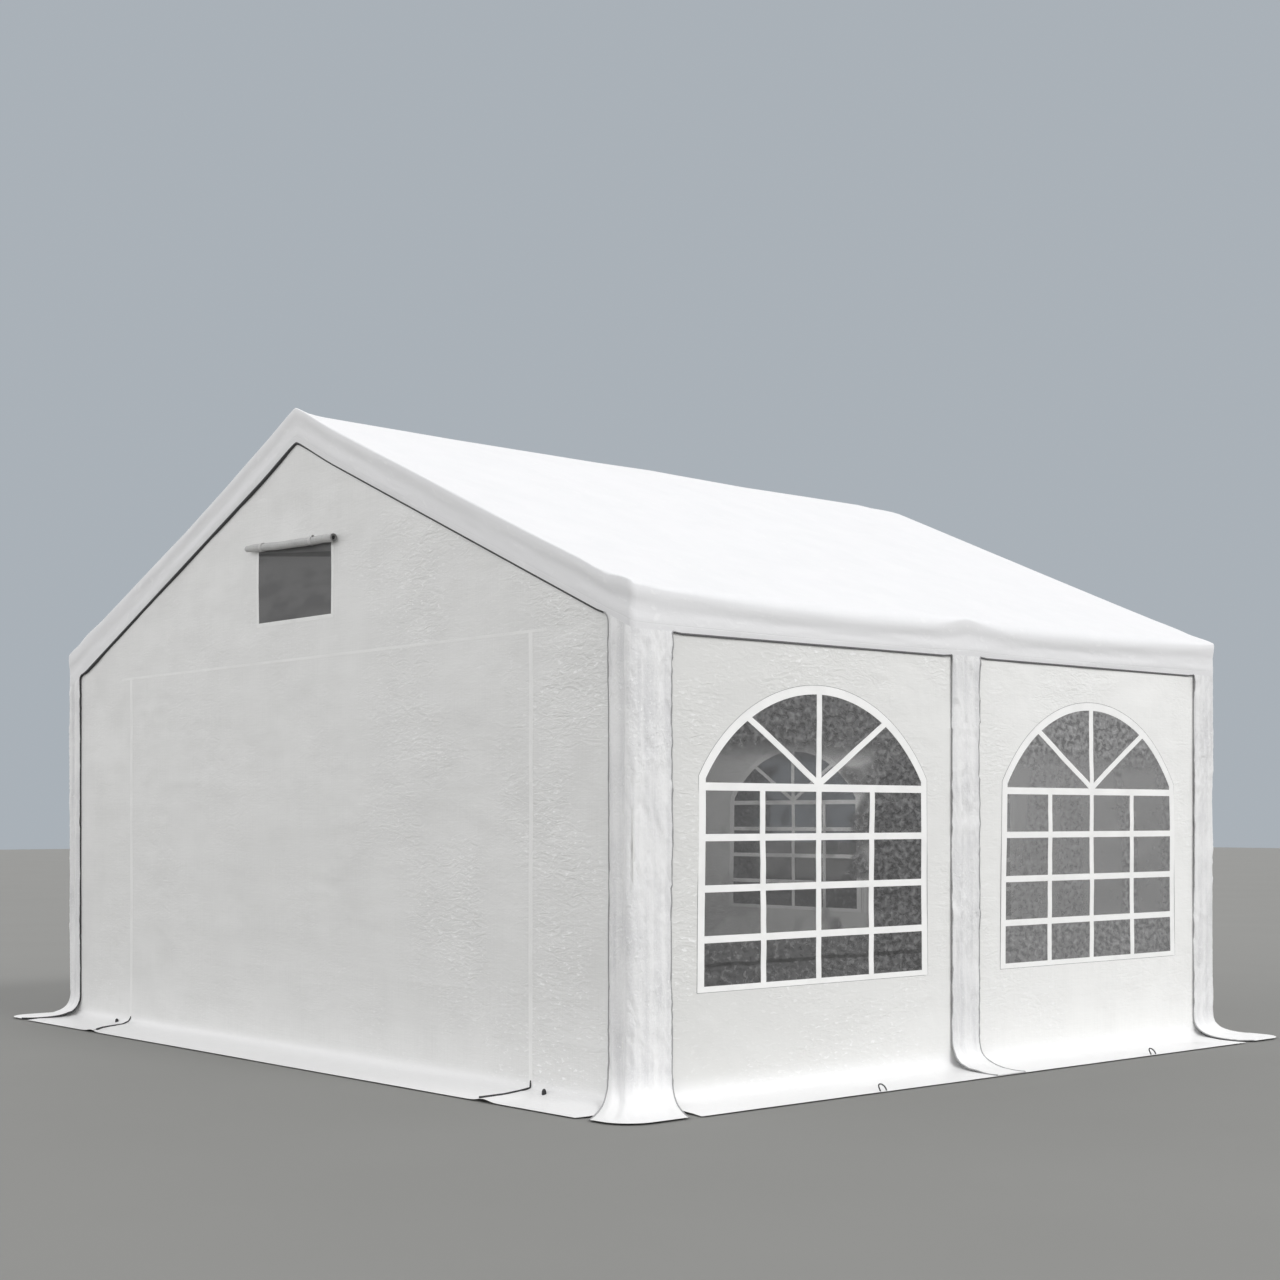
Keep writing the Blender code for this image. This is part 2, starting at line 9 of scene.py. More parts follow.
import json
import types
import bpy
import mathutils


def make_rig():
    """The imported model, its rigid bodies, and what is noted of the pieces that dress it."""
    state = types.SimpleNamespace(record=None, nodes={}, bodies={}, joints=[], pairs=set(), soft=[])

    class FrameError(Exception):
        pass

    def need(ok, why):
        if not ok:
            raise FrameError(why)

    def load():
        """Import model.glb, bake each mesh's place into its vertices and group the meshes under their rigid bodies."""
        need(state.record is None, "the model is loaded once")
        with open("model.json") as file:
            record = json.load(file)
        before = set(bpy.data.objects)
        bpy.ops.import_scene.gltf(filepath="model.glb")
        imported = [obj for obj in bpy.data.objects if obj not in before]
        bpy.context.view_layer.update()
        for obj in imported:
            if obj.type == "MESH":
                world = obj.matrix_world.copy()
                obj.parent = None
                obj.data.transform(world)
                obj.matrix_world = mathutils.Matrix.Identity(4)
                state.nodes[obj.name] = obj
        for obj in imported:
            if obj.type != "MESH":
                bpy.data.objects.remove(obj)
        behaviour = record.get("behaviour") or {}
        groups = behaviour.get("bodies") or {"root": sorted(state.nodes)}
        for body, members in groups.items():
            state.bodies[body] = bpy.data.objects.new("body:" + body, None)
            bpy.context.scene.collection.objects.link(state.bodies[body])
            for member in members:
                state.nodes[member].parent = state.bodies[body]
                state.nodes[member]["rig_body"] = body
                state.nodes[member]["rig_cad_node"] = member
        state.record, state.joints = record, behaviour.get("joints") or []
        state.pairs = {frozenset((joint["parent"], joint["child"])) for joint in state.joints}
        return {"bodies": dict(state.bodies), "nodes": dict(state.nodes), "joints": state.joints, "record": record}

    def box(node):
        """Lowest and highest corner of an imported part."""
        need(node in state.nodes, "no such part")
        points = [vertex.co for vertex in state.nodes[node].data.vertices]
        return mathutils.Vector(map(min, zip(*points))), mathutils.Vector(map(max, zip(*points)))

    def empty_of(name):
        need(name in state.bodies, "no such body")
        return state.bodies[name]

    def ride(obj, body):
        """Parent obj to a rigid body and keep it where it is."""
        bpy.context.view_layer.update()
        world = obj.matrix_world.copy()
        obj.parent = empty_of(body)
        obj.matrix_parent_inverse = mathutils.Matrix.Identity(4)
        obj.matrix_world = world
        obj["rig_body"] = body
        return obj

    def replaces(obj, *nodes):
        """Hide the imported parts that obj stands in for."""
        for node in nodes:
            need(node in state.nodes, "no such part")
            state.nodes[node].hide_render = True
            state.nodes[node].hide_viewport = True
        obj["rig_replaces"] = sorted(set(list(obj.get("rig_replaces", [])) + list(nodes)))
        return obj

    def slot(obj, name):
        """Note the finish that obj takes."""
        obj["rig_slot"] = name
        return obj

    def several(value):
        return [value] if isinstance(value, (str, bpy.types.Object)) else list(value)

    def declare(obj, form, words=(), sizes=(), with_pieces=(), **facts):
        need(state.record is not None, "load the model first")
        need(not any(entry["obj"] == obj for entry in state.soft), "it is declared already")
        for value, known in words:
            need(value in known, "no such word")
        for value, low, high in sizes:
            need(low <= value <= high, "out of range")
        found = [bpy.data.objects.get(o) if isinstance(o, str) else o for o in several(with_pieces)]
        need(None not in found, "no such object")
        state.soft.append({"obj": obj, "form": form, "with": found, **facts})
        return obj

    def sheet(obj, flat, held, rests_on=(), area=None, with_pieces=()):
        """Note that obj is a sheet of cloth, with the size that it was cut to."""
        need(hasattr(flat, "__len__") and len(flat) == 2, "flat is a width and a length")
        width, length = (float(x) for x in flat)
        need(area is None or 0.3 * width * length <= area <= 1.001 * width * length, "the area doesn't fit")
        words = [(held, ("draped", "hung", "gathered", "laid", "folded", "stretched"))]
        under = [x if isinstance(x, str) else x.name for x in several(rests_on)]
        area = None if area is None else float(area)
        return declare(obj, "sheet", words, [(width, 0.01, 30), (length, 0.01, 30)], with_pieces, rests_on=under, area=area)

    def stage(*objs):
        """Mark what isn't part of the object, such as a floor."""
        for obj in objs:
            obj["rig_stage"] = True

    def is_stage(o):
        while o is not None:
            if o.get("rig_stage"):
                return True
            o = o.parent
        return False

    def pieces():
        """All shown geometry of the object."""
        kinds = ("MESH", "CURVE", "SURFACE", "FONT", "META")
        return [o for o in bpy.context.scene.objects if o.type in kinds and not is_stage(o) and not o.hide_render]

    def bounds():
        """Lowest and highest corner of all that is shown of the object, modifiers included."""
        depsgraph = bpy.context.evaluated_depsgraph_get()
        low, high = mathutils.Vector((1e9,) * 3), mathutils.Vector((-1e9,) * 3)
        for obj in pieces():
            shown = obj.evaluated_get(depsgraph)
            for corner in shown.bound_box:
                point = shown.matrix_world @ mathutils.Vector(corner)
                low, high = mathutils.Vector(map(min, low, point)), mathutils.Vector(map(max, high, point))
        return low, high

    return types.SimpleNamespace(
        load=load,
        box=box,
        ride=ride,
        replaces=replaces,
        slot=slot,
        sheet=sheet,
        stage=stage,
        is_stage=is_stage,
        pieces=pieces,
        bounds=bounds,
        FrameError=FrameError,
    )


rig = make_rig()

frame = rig.load()

import json
import logging
import math
from dataclasses import dataclass
from enum import Enum
from typing import ClassVar

import bmesh
import bpy
import numpy as np
from mathutils import Matrix, Vector
from mathutils.geometry import delaunay_2d_cdt
from mathutils.kdtree import KDTree

CAD_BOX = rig.bounds()
LOG = logging.getLogger("party_tent")
BODY = "root"

Array = np.ndarray
Outline = list[tuple[float, float]]
Colour = tuple[float, float, float]
Socket = bpy.types.NodeSocket
Piece = bpy.types.Object

# Thicknesses in the solids, and the thickness that each cloth has here
SOLID_CLOTH = 0.002
SOLID_SEAT = 0.0003
CLOTH = 0.001
FILM = 0.0006
TRIM = 0.0009

# Width of a window's border, and how far the film and the opening reach past the outline inside it
WINDOW_BORDER = 0.0375
FILM_LAP = 0.028
HOLE_LAP = 0.016


# Smooth patterns


def blend_step(low: float, high: float, value: Array) -> Array:
    """Smooth step from 0 at low to 1 at high.

    Args:
        low: Where the step starts.
        high: Where it ends, which may be below low.
        value: The values to take through it.

    Returns:
        One share from 0 to 1 for each value.
    """
    share = np.clip((value - low) / (high - low), 0.0, 1.0)
    return share * share * (3.0 - 2.0 * share)


def bump_at(value: Array, centre: float, width: float) -> Array:
    """Soft bump of height 1 at centre, for values that lie within about width of it."""
    return np.exp(-(((value - centre) / width) ** 2))


def drift(x: Array, y: Array, seed: int) -> Array:
    """Gradient noise from about -1 to 1 that changes over one unit.

    Args:
        x: First coordinate of each point.
        y: Second coordinate of each point.
        seed: Which pattern is taken.

    Returns:
        The noise at each point.
    """
    cell_x, cell_y = np.floor(x), np.floor(y)
    part_x, part_y = x - cell_x, y - cell_y
    ease_x = part_x**3 * (part_x * (part_x * 6.0 - 15.0) + 10.0)
    ease_y = part_y**3 * (part_y * (part_y * 6.0 - 15.0) + 10.0)

    def corner(step_x: float, step_y: float) -> Array:
        """Slope of one corner's gradient at each point.

        Args:
            step_x: The corner's step along.
            step_y: The corner's step up.

        Returns:
            The gradient's height at each point.
        """
        mixed = np.sin((cell_x + step_x) * 127.1 + (cell_y + step_y) * 311.7 + seed * 74.7)
        angle = 2.0 * math.pi * np.mod(mixed * 43758.5453, 1.0)
        return np.cos(angle) * (part_x - step_x) + np.sin(angle) * (part_y - step_y)

    low = corner(0.0, 0.0) * (1.0 - ease_x) + corner(1.0, 0.0) * ease_x
    high = corner(0.0, 1.0) * (1.0 - ease_x) + corner(1.0, 1.0) * ease_x
    return 1.45 * (low * (1.0 - ease_y) + high * ease_y)


class FoldKind(Enum):
    """Ways in which a cloth leaves its plane."""

    SWELL = "soft waves to both sides"
    CREASE = "narrow ridges with flat cloth between them"
    CRUMPLE = "small facets that meet in sharp lines"


@dataclass(frozen=True)
class Fold:
    """One kind of wave, wrinkle or crease in a cloth.

    Attributes:
        kind: Its form.
        height: How far it leaves the cloth's plane, in metres.
        along: Its size along the cloth, in metres.
        up: Its size up the cloth, in metres.
        seed: Which pattern is taken.
        lean: How far it moves along for each metre up.
        patches: Size of the patches that it keeps to, or 0 for all of the cloth.
    """

    kind: FoldKind
    height: float
    along: float
    up: float
    seed: int
    lean: float = 0.0
    patches: float = 0.0

    # How sharp a crease's ridge is, and how far a crumple's facets rise
    CREASE_WIDTH: ClassVar[float] = 0.10
    CRUMPLE_GAIN: ClassVar[float] = 1.6

    def relief(self, u: Array, v: Array) -> Array:
        """Distance off the cloth's plane at each flat point.

        Args:
            u: Distance of each point along the cloth.
            v: Distance of each point up the cloth.

        Returns:
            The distance at each point, in metres.
        """
        x = (u + self.lean * v) / self.along
        y = v / self.up
        wave = drift(x, y, self.seed)
        if self.kind is FoldKind.CREASE:
            turn = np.sign(drift(x * 0.37, y * 0.37, self.seed + 3))
            wave = turn * np.exp(-np.abs(wave) / self.CREASE_WIDTH)
        elif self.kind is FoldKind.CRUMPLE:
            second = drift(x * 1.7 + y * 0.9, y * 1.7 - x * 0.9, self.seed + 5)
            wave = self.CRUMPLE_GAIN * (0.6 - np.abs(wave) - 0.6 * np.abs(second))
        if self.patches > 0.0:
            patch = drift(u / self.patches, v / self.patches, self.seed + 7)
            wave = wave * blend_step(-0.15, 0.35, patch)
        return self.height * wave


Folds = tuple[Fold, ...]


def relief_of(folds: Folds, u: Array, v: Array) -> Array:
    """Sum of several folds at each flat point.

    Args:
        folds: The folds.
        u: Distance of each point along the cloth.
        v: Distance of each point up the cloth.

    Returns:
        The distance off the cloth's plane at each point, in metres.
    """
    total = np.zeros_like(u)
    for fold in folds:
        total = total + fold.relief(u, v)
    return total


# Flat cuts


def inside(points: Array, outline: Outline) -> Array:
    """Whether each point lies inside an outline.

    Args:
        points: Flat points, one a row.
        outline: Corners of the closed outline.

    Returns:
        One truth value for each point.
    """
    found = np.zeros(len(points), bool)
    corners = np.array(outline, float)
    x, y = points[:, 0], points[:, 1]
    for (x0, y0), (x1, y1) in zip(corners, np.roll(corners, -1, axis=0)):
        if y0 == y1:
            continue
        crosses = (y0 > y) != (y1 > y)
        found ^= crosses & (x < x0 + (y - y0) * (x1 - x0) / (y1 - y0))
    return found


def box_outline(low_u: float, low_v: float, high_u: float, high_v: float) -> Outline:
    """Outline of an upright rectangle."""
    return [(low_u, low_v), (high_u, low_v), (high_u, high_v), (low_u, high_v)]


def bar_outline(start: tuple[float, float], end: tuple[float, float], half: float) -> Outline:
    """Outline of a straight bar between two points, by its half width.

    Args:
        start: Middle of the bar's one end.
        end: Middle of its other end.
        half: Its half width.

    Returns:
        The outline's corners.
    """
    run = np.array(end) - np.array(start)
    side = np.array([-run[1], run[0]]) / np.linalg.norm(run) * half
    corners = [start - side, end - side, end + side, start + side]
    return [(float(u), float(v)) for u, v in corners]


def staggered(columns: Array, rows: Array) -> Array:
    """Points on level rows, with every second row half a step along.

    Args:
        columns: Places of the points along a row.
        rows: Heights of the rows.

    Returns:
        The points, one a row.
    """
    x, y = np.meshgrid(columns, rows)
    x = x + 0.5 * (np.arange(len(rows)) % 2)[:, None]
    return np.stack([x.ravel(), y.ravel()], axis=1)


def triangulated(points: Array, ring_edges: list[tuple[int, int]]) -> tuple[Array, Array]:
    """Join flat points into triangles.

    Args:
        points: The points, one a row.
        ring_edges: Point numbers of the edges that have to be kept.

    Returns:
        The points and the triangles' point numbers.
    """
    found = delaunay_2d_cdt([Vector(p) for p in points], ring_edges, [], 0, 1e-7, False)
    return np.array([tuple(p) for p in found[0]]), np.array([tuple(f) for f in found[2]])


def only_used(points: Array, faces: Array) -> tuple[Array, Array]:
    """Leave out the points that no triangle has, and number the others again."""
    used, faces = np.unique(faces, return_inverse=True)
    return points[used], faces.reshape(-1, 3)


@dataclass(frozen=True)
class Cut:
    """A cloth's flat cut, and the net of points over it.

    Distances within the net are counted in its cells.

    Attributes:
        shapes: Outlines that are welded into one cloth.
        holes: Outlines of its openings.
        pitch: Distance between the net's points, along and up, in metres.
        fine_rows: Distances up the cloth between which it has rows close together.
    """

    shapes: tuple[Outline, ...]
    holes: tuple[Outline, ...] = ()
    pitch: tuple[float, float] = (0.02, 0.02)
    fine_rows: tuple[float, float] | None = None

    # Step between the close rows, least distance from an outline, and least area of a triangle
    FINE_STEP: ClassVar[float] = 0.30
    CLEAR: ClassVar[float] = 0.55
    SLIVER: ClassVar[float] = 0.001

    def holds(self, points: Array) -> Array:
        """Whether each flat point lies on the cloth.

        Args:
            points: The points, one a row.

        Returns:
            One truth value for each point.
        """
        kept = np.zeros(len(points), bool)
        for shape in self.shapes:
            kept |= inside(points, shape)
        for hole in self.holes:
            kept &= ~inside(points, hole)
        return kept

    def rim(self) -> tuple[Array, list[tuple[int, int]]]:
        """Divide the outlines into steps of about a cell.

        Returns:
            The points, in cells, and the point numbers of the edges between them.
        """
        rim, edges = [], []
        for outline in (*self.shapes, *self.holes):
            corners = np.array(outline, float) / np.array(self.pitch)
            first = len(rim)
            for start, end in zip(corners, np.roll(corners, -1, axis=0)):
                steps = max(1, math.ceil(float(np.linalg.norm(end - start)) - 0.05))
                rim.extend(start + (end - start) * step / steps for step in range(steps))
            ring = list(range(first, len(rim)))
            edges.extend(zip(ring, ring[1:] + ring[:1]))
        return np.array(rim), edges

    def filling(self, rim: Array) -> Array:
        """Spread points over the cloth, clear of its outlines.

        Args:
            rim: The outlines' points, in cells.

        Returns:
            The points, in cells.
        """
        low, high = rim.min(0), rim.max(0)
        columns = np.arange(low[0] + 0.25, high[0], 1.0)
        points = staggered(columns, np.arange(low[1] + 0.4, high[1], math.sqrt(0.75)))
        if self.fine_rows is not None:
            start, end = (value / self.pitch[1] for value in self.fine_rows)
            points = points[(points[:, 1] < start) | (points[:, 1] > end)]
            points = np.concatenate([points, staggered(columns, np.arange(start, end, self.FINE_STEP))])
        points = points[self.holds(points * np.array(self.pitch))]
        tree = KDTree(len(rim))
        for number, point in enumerate(rim):
            tree.insert((*point, 0.0), number)
        tree.balance()
        return points[np.array([tree.find((*point, 0.0))[2] > self.CLEAR for point in points], bool)]

    def net(self) -> tuple[Array, Array]:
        """Triangulate the cut, without the slivers along its straight edges.

        Returns:
            The flat points, in metres, one a row, and the triangles' point numbers.
        """
        rim, edges = self.rim()
        cells, faces = triangulated(np.concatenate([rim, self.filling(rim)]), edges)
        sides = cells[faces[:, 1:]] - cells[faces[:, :1]]
        areas = np.abs(sides[:, 0, 0] * sides[:, 1, 1] - sides[:, 0, 1] * sides[:, 1, 0]) / 2.0
        points = cells * np.array(self.pitch)
        return only_used(points, faces[(areas > self.SLIVER) & self.holds(points[faces].mean(1))])


# Meshes


def triangle_area(points: Array, faces: Array) -> float:
    """Area of a triangle mesh, in square metres."""
    a, b, c = (points[faces[:, k]] for k in range(3))
    return float(np.linalg.norm(np.cross(b - a, c - a), axis=1).sum() / 2.0)


def new_piece(name: str, points: Array, faces: Array | list, finish: "Finish", slot: str,
              flat: Array | None = None, thickness: float = 0.0, node: str | None = None) -> Piece:
    """Make one smooth piece of the tent, with crisp rims, riding on its body.

    Args:
        name: The piece's name.
        points: Its points in the tent's frame, one a row.
        faces: Its faces' point numbers.
        finish: What it is made of.
        slot: The slot that its finish fills.
        flat: Its points in the flat cut, if it is a cloth, one for each point or each face's corner.
        thickness: Its thickness if the faces are only its middle, or 0.
        node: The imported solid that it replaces, if it replaces one.

    Returns:
        The new piece.
    """
    mesh = bpy.data.meshes.new(name)
    mesh.from_pydata(points.tolist(), [], faces.tolist() if isinstance(faces, np.ndarray) else faces)
    mesh.shade_smooth()
    edges = np.zeros(len(mesh.loops), np.int32)
    mesh.loops.foreach_get("edge_index", edges)
    rims = mesh.attributes.new("sharp_edge", "BOOLEAN", "EDGE")
    rims.data.foreach_set("value", np.bincount(edges, minlength=len(mesh.edges)) == 1)
    mesh.materials.append(finish.material())
    if flat is not None:
        layer = mesh.uv_layers.new(name=FLAT_MAP)
        corners = np.zeros(len(mesh.loops), np.int32)
        mesh.loops.foreach_get("vertex_index", corners)
        flat = flat if len(flat) == len(corners) else flat[corners]
        layer.data.foreach_set("uv", flat.astype(np.float32).ravel())
    piece = bpy.data.objects.new(name, mesh)
    bpy.context.scene.collection.objects.link(piece)
    if thickness > 0.0:
        solid = piece.modifiers.new("thickness", "SOLIDIFY")
        solid.thickness = thickness
        solid.offset = 0.0
    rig.ride(piece, BODY)
    if node is not None:
        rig.replaces(piece, node)
    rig.slot(piece, slot)
    LOG.info("%s: %d points", name, len(mesh.vertices))
    return piece


def tube_mesh(path: Array, radii: Array, sides: int = 12) -> tuple[Array, list[tuple[int, ...]]]:
    """Round tube along a path, with closed ends.

    Args:
        path: Points of its centreline, one a row.
        radii: Its radius at each point.
        sides: How many sides it has.

    Returns:
        Its points and faces.
    """
    ways = np.gradient(path, axis=0)
    points, faces = [], []
    side = Vector(ways[0]).orthogonal().normalized()
    for centre, way, radius in zip(path, ways, radii):
        way = Vector(way).normalized()
        side = (side - way * side.dot(way)).normalized()
        other = way.cross(side)
        for step in range(sides):
            angle = 2.0 * math.pi * step / sides
            points.append(Vector(centre) + (side * math.cos(angle) + other * math.sin(angle)) * radius)
    for ring in range(len(path) - 1):
        for step in range(sides):
            near, far = ring * sides, (ring + 1) * sides
            following = (step + 1) % sides
            faces.append((near + step, near + following, far + following, far + step))
    faces.append(tuple(reversed(range(sides))))
    faces.append(tuple(range((len(path) - 1) * sides, len(path) * sides)))
    return np.array([tuple(p) for p in points]), faces


def new_tube(name: str, path: Array, radii: Array | float, finish: "Finish", slot: str,
             sides: int = 12) -> Piece:
    """Make a round tube along a path, whose radius is one number or one for each point."""
    return new_piece(name, *tube_mesh(path, np.broadcast_to(radii, len(path)), sides), finish, slot)


# Finishes

FLAT_MAP = "flat"


class NodeTree:
    """A node tree, with short ways to add to it."""

    def __init__(self, tree: bpy.types.NodeTree) -> None:
        """Keep the tree's nodes and links at hand."""
        self.nodes, self.links = tree.nodes, tree.links

    def feed(self, socket: Socket, value: object) -> None:
        """Fill an input.

        Args:
            socket: The input.
            value: The output that is linked to it, or else its own value.
        """
        if isinstance(value, Socket):
            self.links.new(value, socket)
        else:
            socket.default_value = value

    def add(self, kind: str, values: dict[str | int, object], **settings: object) -> bpy.types.Node:
        """Add a node.

        Args:
            kind: Blender's name for the node.
            values: A value or an output for each named input.
            settings: The node's own settings.

        Returns:
            The new node.
        """
        node = self.nodes.new(kind)
        for setting, value in settings.items():
            setattr(node, setting, value)
        for socket, value in values.items():
            self.feed(node.inputs[socket], value)
        return node

    def axes(self, place: Socket) -> list[Socket]:
        """The three parts of a point."""
        return list(self.add("ShaderNodeSeparateXYZ", {0: place}).outputs)


class FinishTree(NodeTree):
    """The node tree of one material."""

    NOISE_MIDDLE: ClassVar[float] = 0.5

    def __init__(self, name: str) -> None:
        """Start a material that holds only a Principled shader.

        Args:
            name: The material's name.
        """
        self.material = bpy.data.materials.new(name)
        self.material.use_nodes = True
        super().__init__(self.material.node_tree)
        self.shader = self.nodes["Principled BSDF"]

    def flat_point(self, along: float = 1.0, up: float = 1.0) -> Socket:
        """The point in the flat cut, in metres, scaled along and up the cloth."""
        place = self.add("ShaderNodeUVMap", {}, uv_map=FLAT_MAP).outputs["UV"]
        return self.add("ShaderNodeMapping", {"Vector": place, "Scale": (along, up, 1.0)}).outputs["Vector"]

    def body_point(self) -> Socket:
        """The point on the piece itself, in metres."""
        return self.add("ShaderNodeTexCoord", {}).outputs["Object"]

    def noise(self, place: Socket, scale: float, detail: float = 3.0, distortion: float = 0.0) -> Socket:
        """Noise from 0 to 1 that has scale cells a metre."""
        values = {"Vector": place, "Scale": scale, "Detail": detail, "Distortion": distortion}
        return self.add("ShaderNodeTexNoise", values).outputs["Fac"]

    def math(self, operation: str, *values: object) -> Socket:
        """The result of a Math node on up to three values."""
        return self.add("ShaderNodeMath", dict(enumerate(values)), operation=operation).outputs[0]

    def times(self, value: object, factor: object) -> Socket:
        """The product of two values."""
        return self.math("MULTIPLY", value, factor)

    def times_plus(self, value: object, factor: object, base: object) -> Socket:
        """A product of two values, added to a third."""
        return self.math("MULTIPLY_ADD", value, factor, base)

    def apart(self, value: Socket, other: float) -> Socket:
        """Distance between two values."""
        return self.math("ABSOLUTE", self.math("SUBTRACT", value, other))

    def larger(self, value: Socket, other: object) -> Socket:
        """The larger of two values."""
        return self.math("MAXIMUM", value, other)

    def spread(self, value: Socket, source: tuple[float, float], target: tuple[float, float]) -> Socket:
        """Take a value smoothly from one range to another.

        Args:
            value: The value.
            source: The range that it comes from.
            target: The range that it goes to, at whose ends it is held.

        Returns:
            The new value.
        """
        values = {"Value": value, "From Min": source[0], "From Max": source[1],
                  "To Min": target[0], "To Max": target[1]}
        return self.add("ShaderNodeMapRange", values, interpolation_type="SMOOTHSTEP").outputs["Result"]

    def mix(self, share: Socket, first: Colour | Socket, second: Colour | Socket) -> Socket:
        """Mix two colours.

        Args:
            share: The second colour's share, from 0 to 1.
            first: The first colour, or an output that has it.
            second: The second colour, or an output that has it.

        Returns:
            The mixed colour.
        """
        ends = [end if isinstance(end, Socket) else (*end, 1.0) for end in (first, second)]
        values = {"Factor": share, 6: ends[0], 7: ends[1]}
        return self.add("ShaderNodeMix", values, data_type="RGBA").outputs[2]

    def ridge(self, value: Socket) -> Socket:
        """Sharp ridges, from 0 to 1, where noise passes its middle."""
        return self.math("SUBTRACT", 1.0, self.times(self.apart(value, self.NOISE_MIDDLE), 2.0))

    def weave(self, pitch: float, place: Socket) -> Socket:
        """Make the height of a plain weave.

        Args:
            pitch: Distance over which the weave repeats, in metres.
            place: The point in the flat cut, in metres.

        Returns:
            The height, from -1 to 1.
        """
        waves = [self.math("SINE", self.times(part, 2.0 * math.pi / pitch)) for part in self.axes(place)[:2]]
        return self.times(*waves)

    def relief(self, height: Socket, distance: float) -> None:
        """Give the shader a relief from a height of one unit over a distance in metres."""
        values = {"Height": height, "Distance": distance, "Strength": 1.0}
        self.feed(self.shader.inputs["Normal"], self.add("ShaderNodeBump", values).outputs["Normal"])

    def dress(self, **values: object) -> bpy.types.Material:
        """Set the shader's inputs.

        Args:
            values: A value or an output for each input, whose spaces are written as underscores.

        Returns:
            The material.
        """
        for name, value in values.items():
            self.feed(self.shader.inputs[name.replace("_", " ")], value)
        return self.material


@dataclass(frozen=True)
class Finish:
    """What a piece is made of. Each kind makes its own material, once for each set of values.

    Attributes:
        name: The material's name.
        colour: Its main colour.
        shade: Its second colour, that of its duller patches where nothing else is said.
    """

    name: str
    colour: Colour
    shade: Colour

    made: ClassVar[dict["Finish", bpy.types.Material]] = {}

    def material(self) -> bpy.types.Material:
        """Find the finish's material, and make it when it is first asked for.

        Returns:
            The material.
        """
        if self not in Finish.made:
            Finish.made[self] = self.mixed(FinishTree(self.name))
        return Finish.made[self]

    def mixed(self, tree: FinishTree) -> bpy.types.Material:
        """Make the material.

        Args:
            tree: The material's tree, which holds only its shader.

        Returns:
            The material.
        """
        raise NotImplementedError


